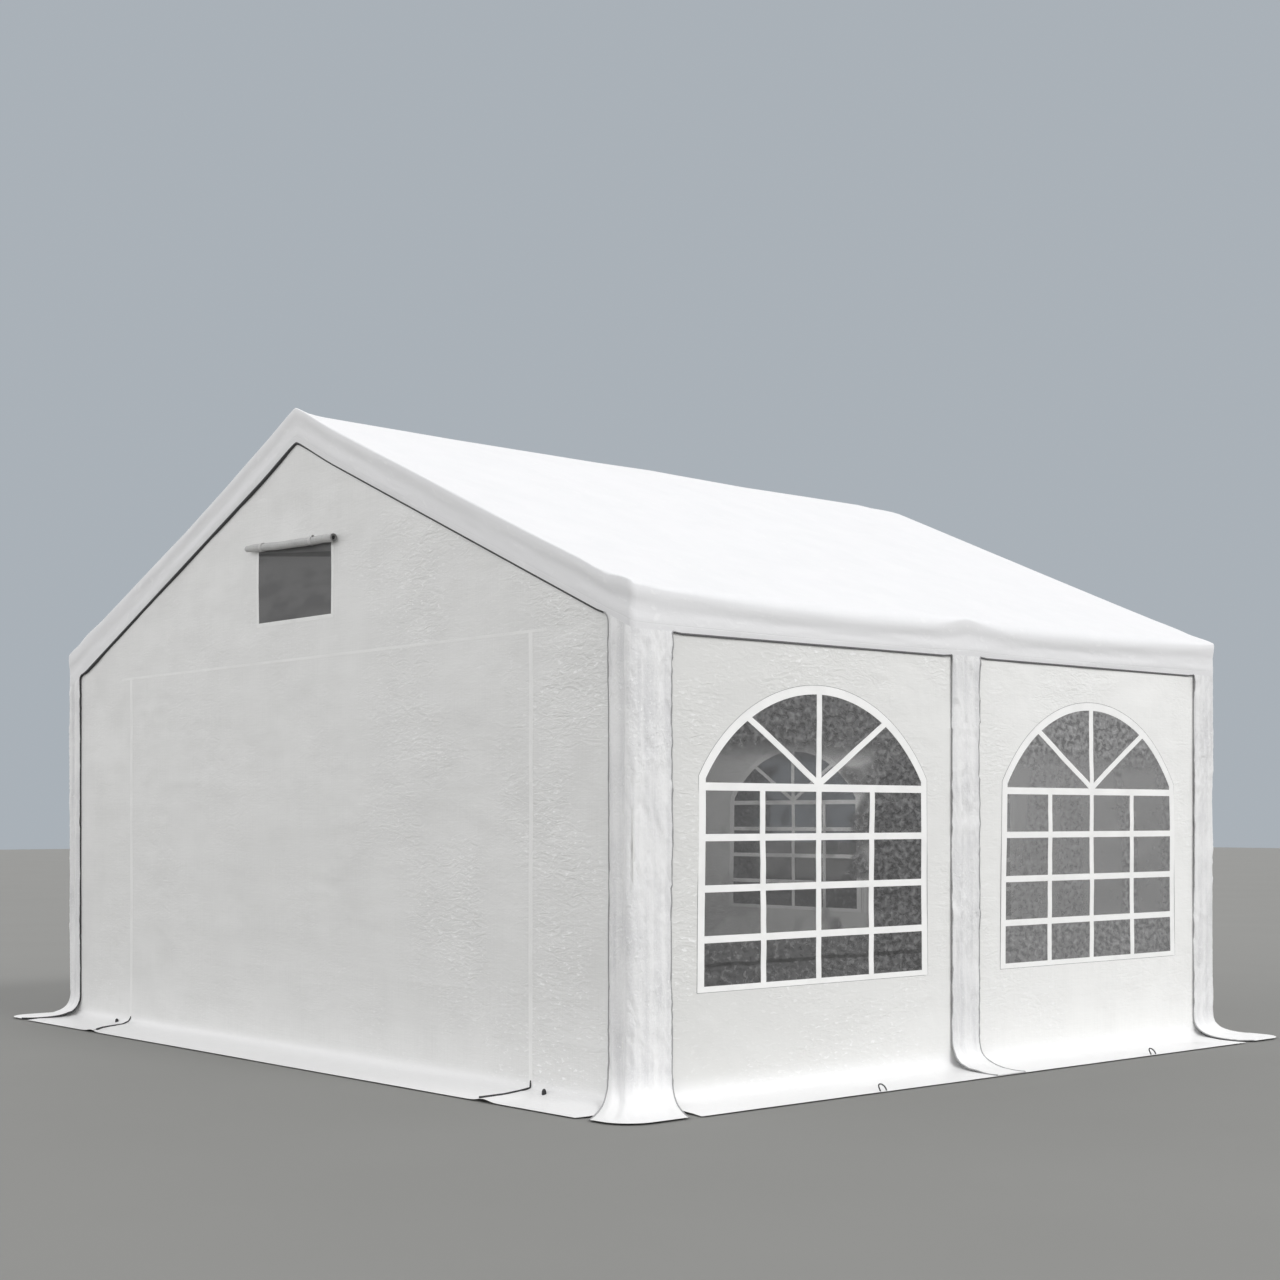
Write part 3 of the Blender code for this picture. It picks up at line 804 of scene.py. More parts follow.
@dataclass(frozen=True)
class Tarpaulin(Finish):
    """Coated woven cloth with a soft shine, crinkles that run along it, and a stitched hem.

    Attributes:
        gloss: Roughness of its shiniest and dullest patches.
        crinkle: Height of its crinkles, in millimetres.
        grain: How many crinkles it has a metre, up the cloth.
        stretch: How many it has along the cloth, as a share of those up it.
        flecks: Strength of the highlight painted onto the crests of its crinkles, from 0 to 1.
        hem: Width of the stitched hem, in metres.
        busy: Places along the cloth between which its crinkles grow to their full height.
        presses: Heights up the cloth of the lines where it was folded for storage.
        fade: Places along the cloth between which a painted shade, darkest at the first place, gives way.
        worn: Colour of that painted shade, which stands in for the light falling off along the wall.
        threads: How much its threads stand out, in millimetres.
        weave: How much its weave stands out, in millimetres.
        streaks: Strength of the shade painted on it in upright bands, standing in for the shade of its folds.
        edge: Colour of the band along its lower edge, painted light where a skirt or a strip's bell faces up into the
            light, and painted shade down the roof's valance.
        edge_end: Heights between which that painted band gives way.
    """

    gloss: tuple[float, float] = (0.34, 0.55)
    crinkle: float = 1.4
    grain: float = 26.0
    stretch: float = 0.4
    flecks: float = 0.3
    hem: float = 0.028
    busy: tuple[float, float] = (-9.0, -8.0)
    presses: tuple[float, ...] = ()
    fade: tuple[float, float] = (-9.0, -8.0)
    worn: Colour | None = None
    threads: float = 0.12
    weave: float = 0.03
    streaks: float = 0.0
    edge: Colour | None = None
    edge_end: tuple[float, float] = (0.0, 0.1)

    # Cells of the threads a metre, across and along them, sizes in metres, heights in
    # millimetres, and the colour of the highlight painted onto the crinkles' crests
    THREAD: ClassVar[tuple[float, float]] = (4.0, 230.0)
    WEAVE_PITCH: ClassVar[float] = 0.0052
    PRESS_HALF: ClassVar[float] = 0.03
    PRESS_HEIGHT: ClassVar[float] = 1.6
    STITCH_PITCH: ClassVar[float] = 0.007
    STITCH_DEPTH: ClassVar[float] = 0.5
    GLINT: ClassVar[Colour] = (0.97, 0.97, 0.97)

    def mixed(self, tree: FinishTree) -> bpy.types.Material:
        """Make the material.

        Args:
            tree: The material's tree, which holds only its shader.

        Returns:
            The material.
        """
        place = tree.flat_point()
        along, up, _ = tree.axes(place)
        drawn = tree.flat_point(self.stretch)
        patches = tree.spread(tree.noise(place, 1.7, 2.0), (0.40, 0.60), (0.25, 1.0))
        patches = tree.times(patches, tree.spread(along, self.busy, (0.3, 1.0)))
        coarse = tree.ridge(tree.noise(drawn, self.grain, 3.0, 0.7))
        fine = tree.noise(drawn, self.grain * 3.0, 2.0, 0.5)
        threads = tree.math("ADD", tree.noise(tree.flat_point(*self.THREAD), 1.0, 1.0),
                            tree.noise(tree.flat_point(*self.THREAD[::-1]), 1.0, 1.0))
        height = tree.times(tree.times(tree.times_plus(fine, 0.6, coarse), patches), self.crinkle)
        height = tree.times_plus(threads, self.threads, height)
        height = tree.times_plus(tree.weave(self.WEAVE_PITCH, place), self.weave, height)
        for level in self.presses:
            fold = tree.larger(tree.times_plus(tree.apart(up, level), -1.0 / self.PRESS_HALF, 1.0), 0.0)
            height = tree.times_plus(tree.times(fold, patches), self.PRESS_HEIGHT, height)
        seam = tree.spread(tree.apart(up, self.hem), (0.0008, 0.0026), (1.0, 0.0))
        dashes = tree.math("SINE", tree.times(along, 2.0 * math.pi / self.STITCH_PITCH))
        stitches = tree.times(seam, tree.spread(dashes, (-0.6, 0.0), (0.35, 1.0)))
        tree.relief(tree.times_plus(stitches, -self.STITCH_DEPTH, height), 0.001)
        mottle = tree.times_plus(fine, 0.35, tree.noise(place, 3.2, 4.0))
        mottle = tree.times_plus(tree.math("SUBTRACT", threads, 1.0), 4.0 * self.threads, mottle)
        # Painted shade: upright bands darken the colour, as the shade of folds.
        if self.streaks > 0.0:
            fold_shade = tree.noise(tree.flat_point(26.0, 0.9), 1.0, 2.0)
            mottle = tree.times_plus(tree.math("SUBTRACT", fold_shade, tree.NOISE_MIDDLE), self.streaks, mottle)
        share = tree.times_plus(stitches, 0.5, tree.spread(mottle, (0.45, 0.95), (0.0, 1.0)))
        colour = tree.mix(share, self.colour, self.shade)
        # Painted shade: the colour darkens toward one end of the cloth, as the light falls off along the wall.
        if self.worn is not None:
            colour = tree.mix(tree.spread(along, self.fade, (1.0, 0.0)), colour, self.worn)
        # Painted light and shade: a lighter band where the skirt faces up, and a darker one down the valance.
        if self.edge is not None:
            colour = tree.mix(tree.spread(up, self.edge_end, (1.0, 0.0)), colour, self.edge)
        # Painted highlight: the crests of the crinkles are mixed toward near-white.
        painted_glints = tree.times(tree.spread(fine, (0.58, 0.72), (0.0, self.flecks)), patches)
        rough = tree.spread(tree.noise(place, 7.0, 3.0), (0.3, 0.7), self.gloss)
        return tree.dress(Base_Color=tree.mix(painted_glints, colour, self.GLINT), Roughness=rough, Sheen_Weight=0.04)


@dataclass(frozen=True)
class WeldedTrim(Finish):
    """White plastic band with the fine grid that the welding wheel leaves.

    Attributes:
        ribs: Distance between its ribs, in metres.
        rib_height: Height of its ribs, in millimetres.
    """

    ribs: float = 0.003
    rib_height: float = 0.05

    def mixed(self, tree: FinishTree) -> bpy.types.Material:
        """Make the material.

        Args:
            tree: The material's tree, which holds only its shader.

        Returns:
            The material.
        """
        place = tree.flat_point()
        wear = tree.noise(place, 9.0, 4.0)
        height = tree.times(tree.weave(self.ribs, place), self.rib_height)
        tree.relief(tree.times_plus(tree.noise(place, 40.0, 2.0), 0.2, height), 0.001)
        colour = tree.mix(tree.spread(wear, (0.4, 0.75), (0.0, 1.0)), self.colour, self.shade)
        return tree.dress(Base_Color=colour, Roughness=tree.spread(wear, (0.3, 0.7), (0.32, 0.5)))


@dataclass(frozen=True)
class SoftFilm(Finish):
    """Smoky see-through film, clear in places and clouded by small waves in others.

    Its second colour is a bright reflection painted on its waves, and a near-black reflection is painted in their
    hollows.

    Attributes:
        clear: How much of what is behind its clear part hides, from 0 to 1.
        hazy: How much its clouded part hides.
        haze: Places across a window between which it clouds over.
        band: How much longer the clouded patches are up than across.
        spots: Strength of those patches left of the middle, from 0 to 1.
        crease: Darkness of the shade painted along a crease at its foot, from 0 to 1.
    """

    clear: float = 0.38
    hazy: float = 0.80
    haze: tuple[float, float] = (0.26, 0.40)
    band: float = 1.0
    spots: float = 0.35
    crease: float = 0.7

    # Height of the crease over the foot, and the near-black colour painted as shade in it and as reflection in the
    # waves
    CREASE_LEVEL: ClassVar[float] = 0.095
    DIP: ClassVar[Colour] = (0.02, 0.02, 0.02)

    def cloud(self, tree: FinishTree, along: Socket, up: Socket) -> Socket:
        """Find where the film is clouded.

        Args:
            tree: The material's tree.
            along: Distance across the window from its middle.
            up: Distance over its foot.

        Returns:
            A share from 0 to 1.
        """
        patches = tree.noise(tree.flat_point(1.0, 1.0 / self.band), 5.0, 1.0)
        patches = tree.spread(patches, (0.44, 0.60), (0.0, 0.8))
        patches = tree.times(patches, tree.spread(along, (0.0, 0.16), (self.spots, 1.0)))
        side = tree.spread(along, self.haze, (0.0, 1.0))
        foot = tree.spread(up, (0.21, 0.16), (0.0, 0.75))
        crown = tree.spread(up, (0.86, 1.04), (0.0, 1.0))
        return tree.larger(tree.larger(side, foot), tree.larger(crown, patches))

    def mixed(self, tree: FinishTree) -> bpy.types.Material:
        """Make the material.

        Args:
            tree: The material's tree, which holds only its shader.

        Returns:
            The material.
        """
        along, up, _ = tree.axes(tree.flat_point())
        mask = self.cloud(tree, along, up)
        waves = tree.noise(tree.flat_point(0.8), 42.0, 2.0, 0.4)
        marks = tree.noise(tree.flat_point(0.75, 1.2), 60.0, 1.0, 0.3)
        lumps = tree.times_plus(marks, 0.4, waves)
        tree.relief(tree.times(lumps, tree.times_plus(mask, 0.9, 0.1)), 0.004)
        # Painted reflections: the waves' hollows are mixed toward near-black and their crests toward a bright grey.
        dark_reflections = tree.times(tree.spread(waves, (0.36, 0.50), (0.5, 0.0)), mask)
        bright_reflections = tree.times(tree.spread(waves, (0.50, 0.72), (0.0, 0.5)), mask)
        colour = tree.mix(bright_reflections, tree.mix(dark_reflections, self.colour, self.DIP), self.shade)
        level = tree.times_plus(tree.noise(tree.flat_point(6.0), 1.0, 2.0), 0.02, up)
        # Painted shade: a dark line along the crease near the foot.
        crease = tree.spread(tree.apart(level, self.CREASE_LEVEL), (0.004, 0.012), (self.crease, 0.0))
        return tree.dress(Base_Color=tree.mix(crease, colour, self.DIP), IOR=1.45,
                          Alpha=tree.spread(mask, (0.0, 1.0), (self.clear, self.hazy)),
                          Roughness=tree.spread(waves, (0.3, 0.8), (0.28, 0.14)))


@dataclass(frozen=True)
class InsectMesh(Finish):
    """Fine dark mesh, whose second colour shows between its yarns."""

    def mixed(self, tree: FinishTree) -> bpy.types.Material:
        """Make the material.

        Args:
            tree: The material's tree, which holds only its shader.

        Returns:
            The material.
        """
        weave = tree.weave(0.003, tree.flat_point())
        share = tree.spread(weave, (-0.2, 0.5), (0.0, 1.0))
        folds = tree.spread(tree.noise(tree.flat_point(0.35), 9.0, 2.0), (0.45, 0.65), (0.0, 0.8))
        tree.relief(weave, 0.0002)
        colour = tree.mix(tree.larger(share, folds), self.colour, self.shade)
        return tree.dress(Base_Color=colour, Roughness=0.75, Alpha=0.95)


@dataclass(frozen=True)
class ZincSteel(Finish):
    """Zinc-coated steel with faint spangles and drawn lines.

    Attributes:
        gloss: Roughness of its brightest and dullest patches.
    """

    gloss: tuple[float, float]

    def mixed(self, tree: FinishTree) -> bpy.types.Material:
        """Make the material.

        Args:
            tree: The material's tree, which holds only its shader.

        Returns:
            The material.
        """
        place = tree.body_point()
        cells = tree.add("ShaderNodeTexVoronoi", {"Vector": place, "Scale": 90.0}).outputs["Distance"]
        cloud = tree.noise(place, 14.0, 4.0)
        share = tree.spread(tree.times_plus(cells, 0.4, cloud), (0.35, 0.9), (0.0, 1.0))
        tree.relief(tree.noise(place, 160.0, 3.0), 0.0002)
        return tree.dress(Base_Color=tree.mix(share, self.colour, self.shade), Metallic=1.0,
                          Roughness=tree.spread(cloud, (0.3, 0.7), self.gloss))


@dataclass(frozen=True)
class Cord(Finish):
    """Braided cord or webbing, whose second colour shows between its yarns."""

    def mixed(self, tree: FinishTree) -> bpy.types.Material:
        """Make the material.

        Args:
            tree: The material's tree, which holds only its shader.

        Returns:
            The material.
        """
        braid = tree.ridge(tree.noise(tree.body_point(), 420.0, 2.0))
        tree.relief(braid, 0.0006)
        share = tree.spread(braid, (0.5, 1.0), (1.0, 0.0))
        return tree.dress(Base_Color=tree.mix(share, self.colour, self.shade), Roughness=0.7)


@dataclass(frozen=True)
class StudioFloor(Finish):
    """Plain pale floor."""

    def mixed(self, tree: FinishTree) -> bpy.types.Material:
        """Make the material.

        Args:
            tree: The material's tree, which holds only its shader.

        Returns:
            The material.
        """
        share = tree.noise(tree.body_point(), 0.7, 3.0)
        return tree.dress(Base_Color=tree.mix(share, self.colour, self.shade), Roughness=0.9)


def grey(level: float) -> Colour:
    """An even grey."""
    return level, level, level


# The roof's darker band down its valance is painted shade.
ROOF_CLOTH = Tarpaulin("roof_cloth", (0.868, 0.87, 0.885), (0.84, 0.845, 0.86), crinkle=1.2, grain=10.0,
                       stretch=0.6, edge=(0.80, 0.80, 0.81), edge_end=(0.13, 0.178))
# The strips' darker second colour and upright bands are painted fold shade, their lighter band at the bell is painted
# light, and the highlights on their crinkles are painted.
STRIP_CLOTH = Tarpaulin("strip_cloth", grey(0.87), (0.70, 0.70, 0.71), (0.28, 0.5), 3.6, 24.0, 1.6, 0.9,
                        threads=0.03, weave=0.01, streaks=0.9, edge=grey(0.935), edge_end=(0.22, 0.33))
# The gable's and the door's lighter skirt band is painted light, and the highlights on their crinkles are painted.
GABLE_CLOTH = Tarpaulin("gable_cloth", (0.81, 0.81, 0.80), (0.76, 0.76, 0.75), crinkle=4.6, flecks=1.0,
                        busy=(0.2, 1.5), presses=(0.47, 0.65), edge=grey(0.90), edge_end=(0.25, 0.33))
DOOR_CLOTH = Tarpaulin("door_cloth", (0.81, 0.81, 0.80), (0.765, 0.765, 0.755), crinkle=4.0, flecks=0.8,
                       busy=(0.2, 1.5), presses=(0.47, 0.65), edge=grey(0.90), edge_end=(0.25, 0.33))
# The long walls darken toward one end as painted shade of the light falling off, their lighter skirt band is painted
# light, and the highlights on their crinkles are painted.
SIDE_CLOTH = Tarpaulin("side_cloth", (0.92, 0.92, 0.905), (0.87, 0.87, 0.855), (0.28, 0.5), 3.2, flecks=0.7,
                       presses=(0.875,), fade=(-2.2, 1.6), worn=(0.735, 0.735, 0.72), edge=grey(0.94),
                       edge_end=(0.25, 0.36))
# The flap is the tent's cloth painted darker, as the shade it lies in.
SHADED_FLAP_CLOTH = Tarpaulin("flap_cloth", (0.54, 0.54, 0.53), grey(0.42), crinkle=1.2, grain=30.0, stretch=1.0)
WINDOW_TRIM = WeldedTrim("window_trim", (0.96, 0.96, 0.95), (0.90, 0.90, 0.89))
SEAM_TAPE = WeldedTrim("seam_tape", (0.875, 0.875, 0.865), (0.83, 0.83, 0.82), 0.0035, 0.15)
VENT_TRIM = WeldedTrim("vent_trim", (0.85, 0.85, 0.84), (0.80, 0.80, 0.79), 0.004, 0.1)
WINDOW_FILM = SoftFilm("window_film", (0.112, 0.112, 0.114), grey(0.33))
SMOOTH_FILM = SoftFilm("window_film_smooth", (0.26, 0.26, 0.262), grey(0.50), 0.52, 0.80,
                       (0.50, 0.75), 8.0, 0.6, 0.0)
VENT_MESH = InsectMesh("vent_mesh", grey(0.20), (0.125, 0.125, 0.127))
# The doubled mesh is darker than two layers would make it, as painted shadow of the roll.
SHADED_DOUBLED_MESH = InsectMesh("doubled_mesh", grey(0.11), grey(0.07))
TUBE_STEEL = ZincSteel("tube_steel", (0.66, 0.67, 0.68), (0.50, 0.51, 0.52), (0.28, 0.42))
JOINT_STEEL = ZincSteel("joint_steel", (0.55, 0.56, 0.57), (0.40, 0.41, 0.42), (0.36, 0.52))
# Cords that paint the shadow in the gaps round the cover's openings and round the window borders.
EDGE_SHADE_CORD = Cord("edge_cord", (0.16, 0.16, 0.165), (0.09, 0.09, 0.095))
PALE_SHADE_CORD = Cord("pale_cord", (0.40, 0.40, 0.405), (0.27, 0.27, 0.275))
# Near-black, painted as shade behind the valance's hem, down the door's slits and in the roll's core, and the pegs'
# own colour.
SHADE_AND_PEG_BLACK = Cord("dark_tape", (0.035, 0.035, 0.037), (0.02, 0.02, 0.022))
DARK_CORD = Cord("dark_cord", (0.06, 0.06, 0.063), (0.02, 0.02, 0.022))
TIE_WEB = Cord("tie_web", (0.62, 0.62, 0.61), grey(0.45))
PALE_FLOOR = StudioFloor("pale_floor", (0.26, 0.26, 0.25), (0.24, 0.24, 0.23))


# The tent's own lines


@dataclass(frozen=True)
class TentLines:
    """Main planes and heights of the tent, at the middle of each cloth, in metres.

    Attributes:
        cover_x: Half width of the roof cover.
        cover_y: Half length of the roof cover.
        ridge: Height of the ridge.
        eave: Height of the roof's side edges.
        wall_x: Half distance between the long walls.
        wall_y: Half distance between the gable walls.
        reach: How far the skirt runs out from a wall.
        drop: Height of the valance.
        corner: Radius of the cover's corners in plan.
        recess: How far the valance's hem and the strips lie inward of the cover's edge.
        slack_places: Places along the ridge at which the cloth's slack is known.
        slack_drops: How far the cloth lies below the ridge line there.
        slack_reach: Distance from the ridge at which the slack ends.
        ridge_ease: Distance from the ridge over which the cloth is rounded.
    """

    cover_x: float
    cover_y: float
    ridge: float
    eave: float
    wall_x: float
    wall_y: float
    reach: float
    drop: float = 0.165
    corner: float = 0.029
    recess: float = 0.0065
    slack_places: tuple[float, ...] = (-2.02, -1.965, -1.88, -1.71, -1.41, -1.10, -0.10, 0.26, 1.0)
    slack_drops: tuple[float, ...] = (-0.012, 0.004, 0.013, 0.016, 0.020, 0.024, 0.030, 0.028, 0.042)
    slack_reach: float = 0.33
    ridge_ease: float = 0.009

    @classmethod
    def from_frame(cls) -> "TentLines":
        """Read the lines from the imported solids.

        Returns:
            The lines.
        """
        low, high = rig.box("roof_cover")
        cover_x, cover_y = high.x - SOLID_CLOTH / 2, high.y - SOLID_CLOTH / 2
        eave = low.z + cls.drop
        pitch = math.atan2(high.z - eave, high.x)
        inner = SOLID_SEAT + SOLID_CLOTH / 2
        wall_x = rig.box("window_film_right_front")[1].x + inner
        wall_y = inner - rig.box("vent_mesh_front")[0].y
        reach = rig.box("long_wall_right")[1].x - wall_x
        ridge = high.z - SOLID_CLOTH / 2 / math.cos(pitch)
        return cls(cover_x, cover_y, ridge, eave, wall_x, wall_y, reach)

    @property
    def slope(self) -> float:
        """Rise of the roof for each metre inward."""
        return (self.ridge - self.eave) / self.cover_x

    @property
    def strip_x(self) -> float:
        """Half distance between the strips on the long sides."""
        return self.cover_x - self.recess

    @property
    def strip_y(self) -> float:
        """Half distance between the strips on the gable sides."""
        return self.cover_y - self.recess

    def roof(self, x: Array, y: Array) -> Array:
        """Height of the roof over points in plan, with the ridge eased and its cloth slack.

        Args:
            x: Distance of each place across the tent.
            y: Distance of each place along the ridge.

        Returns:
            The height at each point.
        """
        eased = np.sqrt(np.square(x) + self.ridge_ease**2)
        slack = np.interp(y, self.slack_places, self.slack_drops)
        return self.ridge - eased * self.slope - slack * (1.0 - blend_step(0.0, self.slack_reach, np.abs(x)))

    def hem(self, x: Array, y: Array) -> Array:
        """Height of the valance's hem below points of the cover's edge in plan."""
        return self.roof(x, y) - self.drop


class Side(Enum):
    """Sides of the tent, by the turn in degrees that takes the front there."""

    FRONT = 0
    RIGHT = 90
    BACK = 180
    LEFT = 270

    @property
    def label(self) -> str:
        """The side's name in the pieces' names."""
        return self.name.lower()

    def turned(self, along: Array, out: Array, up: Array) -> Array:
        """Points of this side from distances along it, out from the middle of the tent, and up.

        Args:
            along: Distance of each point along the side.
            out: Distance of each point out from the middle of the tent.
            up: Height of each point.

        Returns:
            The points in the tent's frame, one a row.
        """
        angle = math.radians(self.value)
        x = along * math.cos(angle) + out * math.sin(angle)
        y = along * math.sin(angle) - out * math.cos(angle)
        return np.stack([x, y, up], axis=1)


@dataclass(frozen=True)
class SkirtCurve:
    """Path of a cloth from its hem on the ground, over the bend, to the upright wall.

    Attributes:
        reach: Distance from the wall's plane to the hem.
        bend: Height at which the cloth leaves the wall's plane.
        lift: Height of the hem over the ground.
        run: How near the wall the cloth lies flat, as a share of the reach.
        foot: Height of the cloth there.
        turn: Height at which the bend would touch the wall's plane, as a share of the bend.
    """

    reach: float
    bend: float
    lift: float
    run: float
    foot: float
    turn: float

    # Places at which the bend is worked out
    STEPS: ClassVar[int] = 121

    def table(self) -> tuple[Array, Array, Array]:
        """Length from the hem, distance out and height at steps along the bend.

        Returns:
            One value of each for every step.
        """
        t = np.linspace(0.0, 1.0, self.STEPS)
        ends = np.array([[self.reach, self.lift], [self.reach * self.run, self.foot],
                         [0.0, self.bend * self.turn], [0.0, self.bend]])
        shares = np.stack([(1 - t)**3, 3 * t * (1 - t)**2, 3 * t**2 * (1 - t), t**3])
        out, up = ends.T @ shares
        steps = np.hypot(np.diff(out), np.diff(up))
        return np.concatenate([[0.0], np.cumsum(steps)]), out, up

    @property
    def length(self) -> float:
        """Length of the bend, from the hem to the wall's plane."""
        return float(self.table()[0][-1])

    def v_at(self, height: float) -> float:
        """Distance up the cloth at a height on the upright wall."""
        return self.length + height - self.bend

    def v_on_bend(self, height: float) -> float:
        """Distance up the cloth at a height on the bend."""
        lengths, _, ups = self.table()
        return float(np.interp(height, ups, lengths))

    def hang(self, v: Array) -> tuple[Array, Array, Array, Array]:
        """Where points of the cloth hang.

        Args:
            v: Distance of each point up the cloth.

        Returns:
            Distance out, height, and the outward face's share out and up.
        """
        lengths, outs, ups = self.table()
        out = np.interp(v, lengths, outs)
        up = np.where(v > lengths[-1], self.bend + v - lengths[-1], np.interp(v, lengths, ups))
        way_out, way_up = np.gradient(outs, lengths), np.gradient(ups, lengths)
        face_out = np.where(v > lengths[-1], 1.0, np.interp(v, lengths, way_up))
        face_up = np.where(v > lengths[-1], 0.0, np.interp(v, lengths, -way_out))
        return out, up, face_out, face_up


def wall_skirt(reach: float) -> SkirtCurve:
    """The tight bend at the foot of a wall."""
    return SkirtCurve(reach, 0.055, 0.0055, 0.185, 0.010, 0.33)


def strip_skirt(reach: float, bend: float) -> SkirtCurve:
    """The wide bend at the foot of a strip, which stands over the walls' skirts."""
    return SkirtCurve(reach, bend, 0.0085, 0.22, 0.0125, 0.22)


@dataclass(frozen=True)
class Arch:
    """Outline of an arched window inside its border, in the flat cut of its wall.

    Its sides lean in from the foot to the shoulders, where one arc of a circle starts.

    Attributes:
        centre: Its middle along the wall.
        foot: Distance of its foot up the cloth.
        scale: Its size as a share of a long wall's window.
    """

    centre: float
    foot: float
    scale: float = 1.0

    # Sizes of a long wall's window, and how much less it grows at its foot
    FOOT_HALF: ClassVar[float] = 0.667
    HALF: ClassVar[float] = 0.6545
    HEIGHT: ClassVar[float] = 1.199
    RADIUS: ClassVar[float] = 0.772
    SPRING: ClassVar[float] = 0.804
    FOOT_GROWTH: ClassVar[float] = 0.62

    def level(self, height: float) -> float:
        """Distance up the cloth at a height over the foot of a long wall's window."""
        return self.foot + height * self.scale

    def outline(self, grow: float, steps: int = 44) -> Outline:
        """The outline, made larger all round by grow, and by less at the foot.

        Args:
            grow: How much larger it is.
            steps: How many steps its arc has.

        Returns:
            The outline's corners.
        """
        foot_half = self.FOOT_HALF * self.scale + grow
        radius = self.RADIUS * self.scale + grow
        spread = math.asin((self.HALF * self.scale + grow) / radius)
        foot = self.foot - grow * self.FOOT_GROWTH
        points = [(self.centre - foot_half, foot), (self.centre + foot_half, foot)]
        middle = self.level(self.HEIGHT - self.RADIUS)
        for step in range(steps + 1):
            angle = spread * (1.0 - 2.0 * step / steps)
            points.append((self.centre + radius * math.sin(angle), middle + radius * math.cos(angle)))
        return points

    def depth(self, u: Array, v: Array) -> Array:
        """How far inside the outline each flat point lies, in metres, below 0 outside.

        Args:
            u: Distance of each point along the cloth.
            v: Distance of each point up the cloth.

        Returns:
            The depth of each point.
        """
        across = np.abs(u - self.centre)
        rise = np.clip((v - self.foot) / (self.SPRING * self.scale), 0.0, 1.0)
        side = (self.FOOT_HALF + (self.HALF - self.FOOT_HALF) * rise) * self.scale - across
        round_part = self.RADIUS * self.scale - np.hypot(across, v - self.level(self.HEIGHT - self.RADIUS))
        round_part = np.where(v > self.level(self.HEIGHT - self.RADIUS), round_part, side)
        return np.minimum(np.minimum(side, round_part), v - self.foot)


FlatBox = tuple[float, float, float, float]


@dataclass(frozen=True)
class Hanging:
    """A cloth's place on one side of the tent.

    Attributes:
        side: The side that it hangs on.
        plane: Distance of its plane from the middle of the tent.
        skirt: Its path at the foot.
        broad: Its wide swells.
        fine: Its small folds, which keep off the trims.
        trims: Boxes (low u, low v, high u, high v) of the seams and bands on it.
        arches: The windows in it.
        lifted: Places (u, width, height) where its skirt stands off the ground.
        held: Places along it, to both sides of its middle, where the strips hold it flat.
    """

    side: Side
    plane: float
    skirt: SkirtCurve
    broad: Folds
    fine: Folds = ()
    trims: tuple[FlatBox, ...] = ()
    arches: tuple[Arch, ...] = ()
    lifted: tuple[tuple[float, float, float], ...] = ()
    held: tuple[float, ...] = ()

    # Least height as a share of the hem's, and how firmly and widely the strips hold it
    LOWEST: ClassVar[float] = 0.6
    HOLD: ClassVar[float] = 0.85
    HOLD_WIDTH: ClassVar[float] = 0.10

    def calm(self, u: Array, v: Array) -> Array:
        """Share of the small folds that is left at each flat point.

        Args:
            u: Distance of each point along the cloth.
            v: Distance of each point up the cloth.

        Returns:
            One share from 0 to 1 for each point.
        """
        away = np.full_like(u, 1.0)
        for low_u, low_v, high_u, high_v in self.trims:
            beside = np.maximum(np.maximum(low_u - u, u - high_u), 0.0)
            above = np.maximum(np.maximum(low_v - v, v - high_v), 0.0)
            away = np.minimum(away, np.hypot(beside, above))
        for arch in self.arches:
            away = np.minimum(away, -arch.depth(u, v) - WINDOW_BORDER)
        return blend_step(0.006, 0.07, away)

    def points(self, flat: Array, offset: Array | float = 0.0) -> Array:
        """Hang flat points on the tent.

        Args:
            flat: The points in the flat cut.
            offset: How far each stands off the cloth's face.

        Returns:
            The points in the tent's frame.
        """
        u, v = flat[:, 0], flat[:, 1]
        out, up, face_out, face_up = self.skirt.hang(v)
        off = relief_of(self.broad, u, v) + relief_of(self.fine, u, v) * self.calm(u, v)
        for place in self.held:
            off = off * (1.0 - self.HOLD * bump_at(np.abs(u), place, self.HOLD_WIDTH))
        off = off * blend_step(-0.05, 0.20, v) + offset
        for at_u, width, height in self.lifted:
            off = off + height * bump_at(u, at_u, width) * blend_step(0.30, 0.18, v)
        out, up = out + off * face_out, up + off * face_up
        return self.side.turned(u, self.plane + out, np.maximum(up, self.skirt.lift * self.LOWEST))


def hang_cloth(name: str, cut: Cut, hanging: Hanging, finish: Finish, slot: str, thickness: float = CLOTH,
               offset: float = 0.0, node: str | None = None) -> Piece:
    """Cut a cloth and hang it.

    Args:
        name: The piece's name.
        cut: Its flat cut.
        hanging: Its place on the tent.
        finish: What it is made of.
        slot: The slot that its finish fills.
        thickness: Its thickness.
        offset: How far it stands off the face of the cloth that it follows.
        node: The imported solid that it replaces, if it replaces one.

    Returns:
        The new piece, which keeps its flat sizes as flat_width, flat_length and flat_area.
    """
    flat, faces = cut.net()
    piece = new_piece(name, hanging.points(flat, offset), faces, finish, slot, flat, thickness, node)
    return keep_flat(piece, flat, faces)


def keep_flat(piece: Piece, flat: Array, faces: Array) -> Piece:
    """Note a cloth's flat width, length and area on its piece.

    Args:
        piece: The cloth's piece.
        flat: The points in the flat cut, one a row.
        faces: The triangles' point numbers.

    Returns:
        The piece.
    """
    size = flat.max(0) - flat.min(0)
    solid = np.concatenate([flat, np.zeros((len(flat), 1))], axis=1)
    piece["flat_width"], piece["flat_length"] = float(size[0]), float(size[1])
    piece["flat_area"] = triangle_area(solid, faces)
    return piece


def declare_sheet(piece: Piece, held: str, rests_on: list[str],
                  with_pieces: list[Piece] | None = None) -> None:
    """Declare a cloth with the flat sizes that were kept on it."""
    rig.sheet(piece, flat=(piece["flat_width"], piece["flat_length"]), held=held, rests_on=rests_on,
             area=piece["flat_area"], with_pieces=with_pieces or [])


# Roof cover


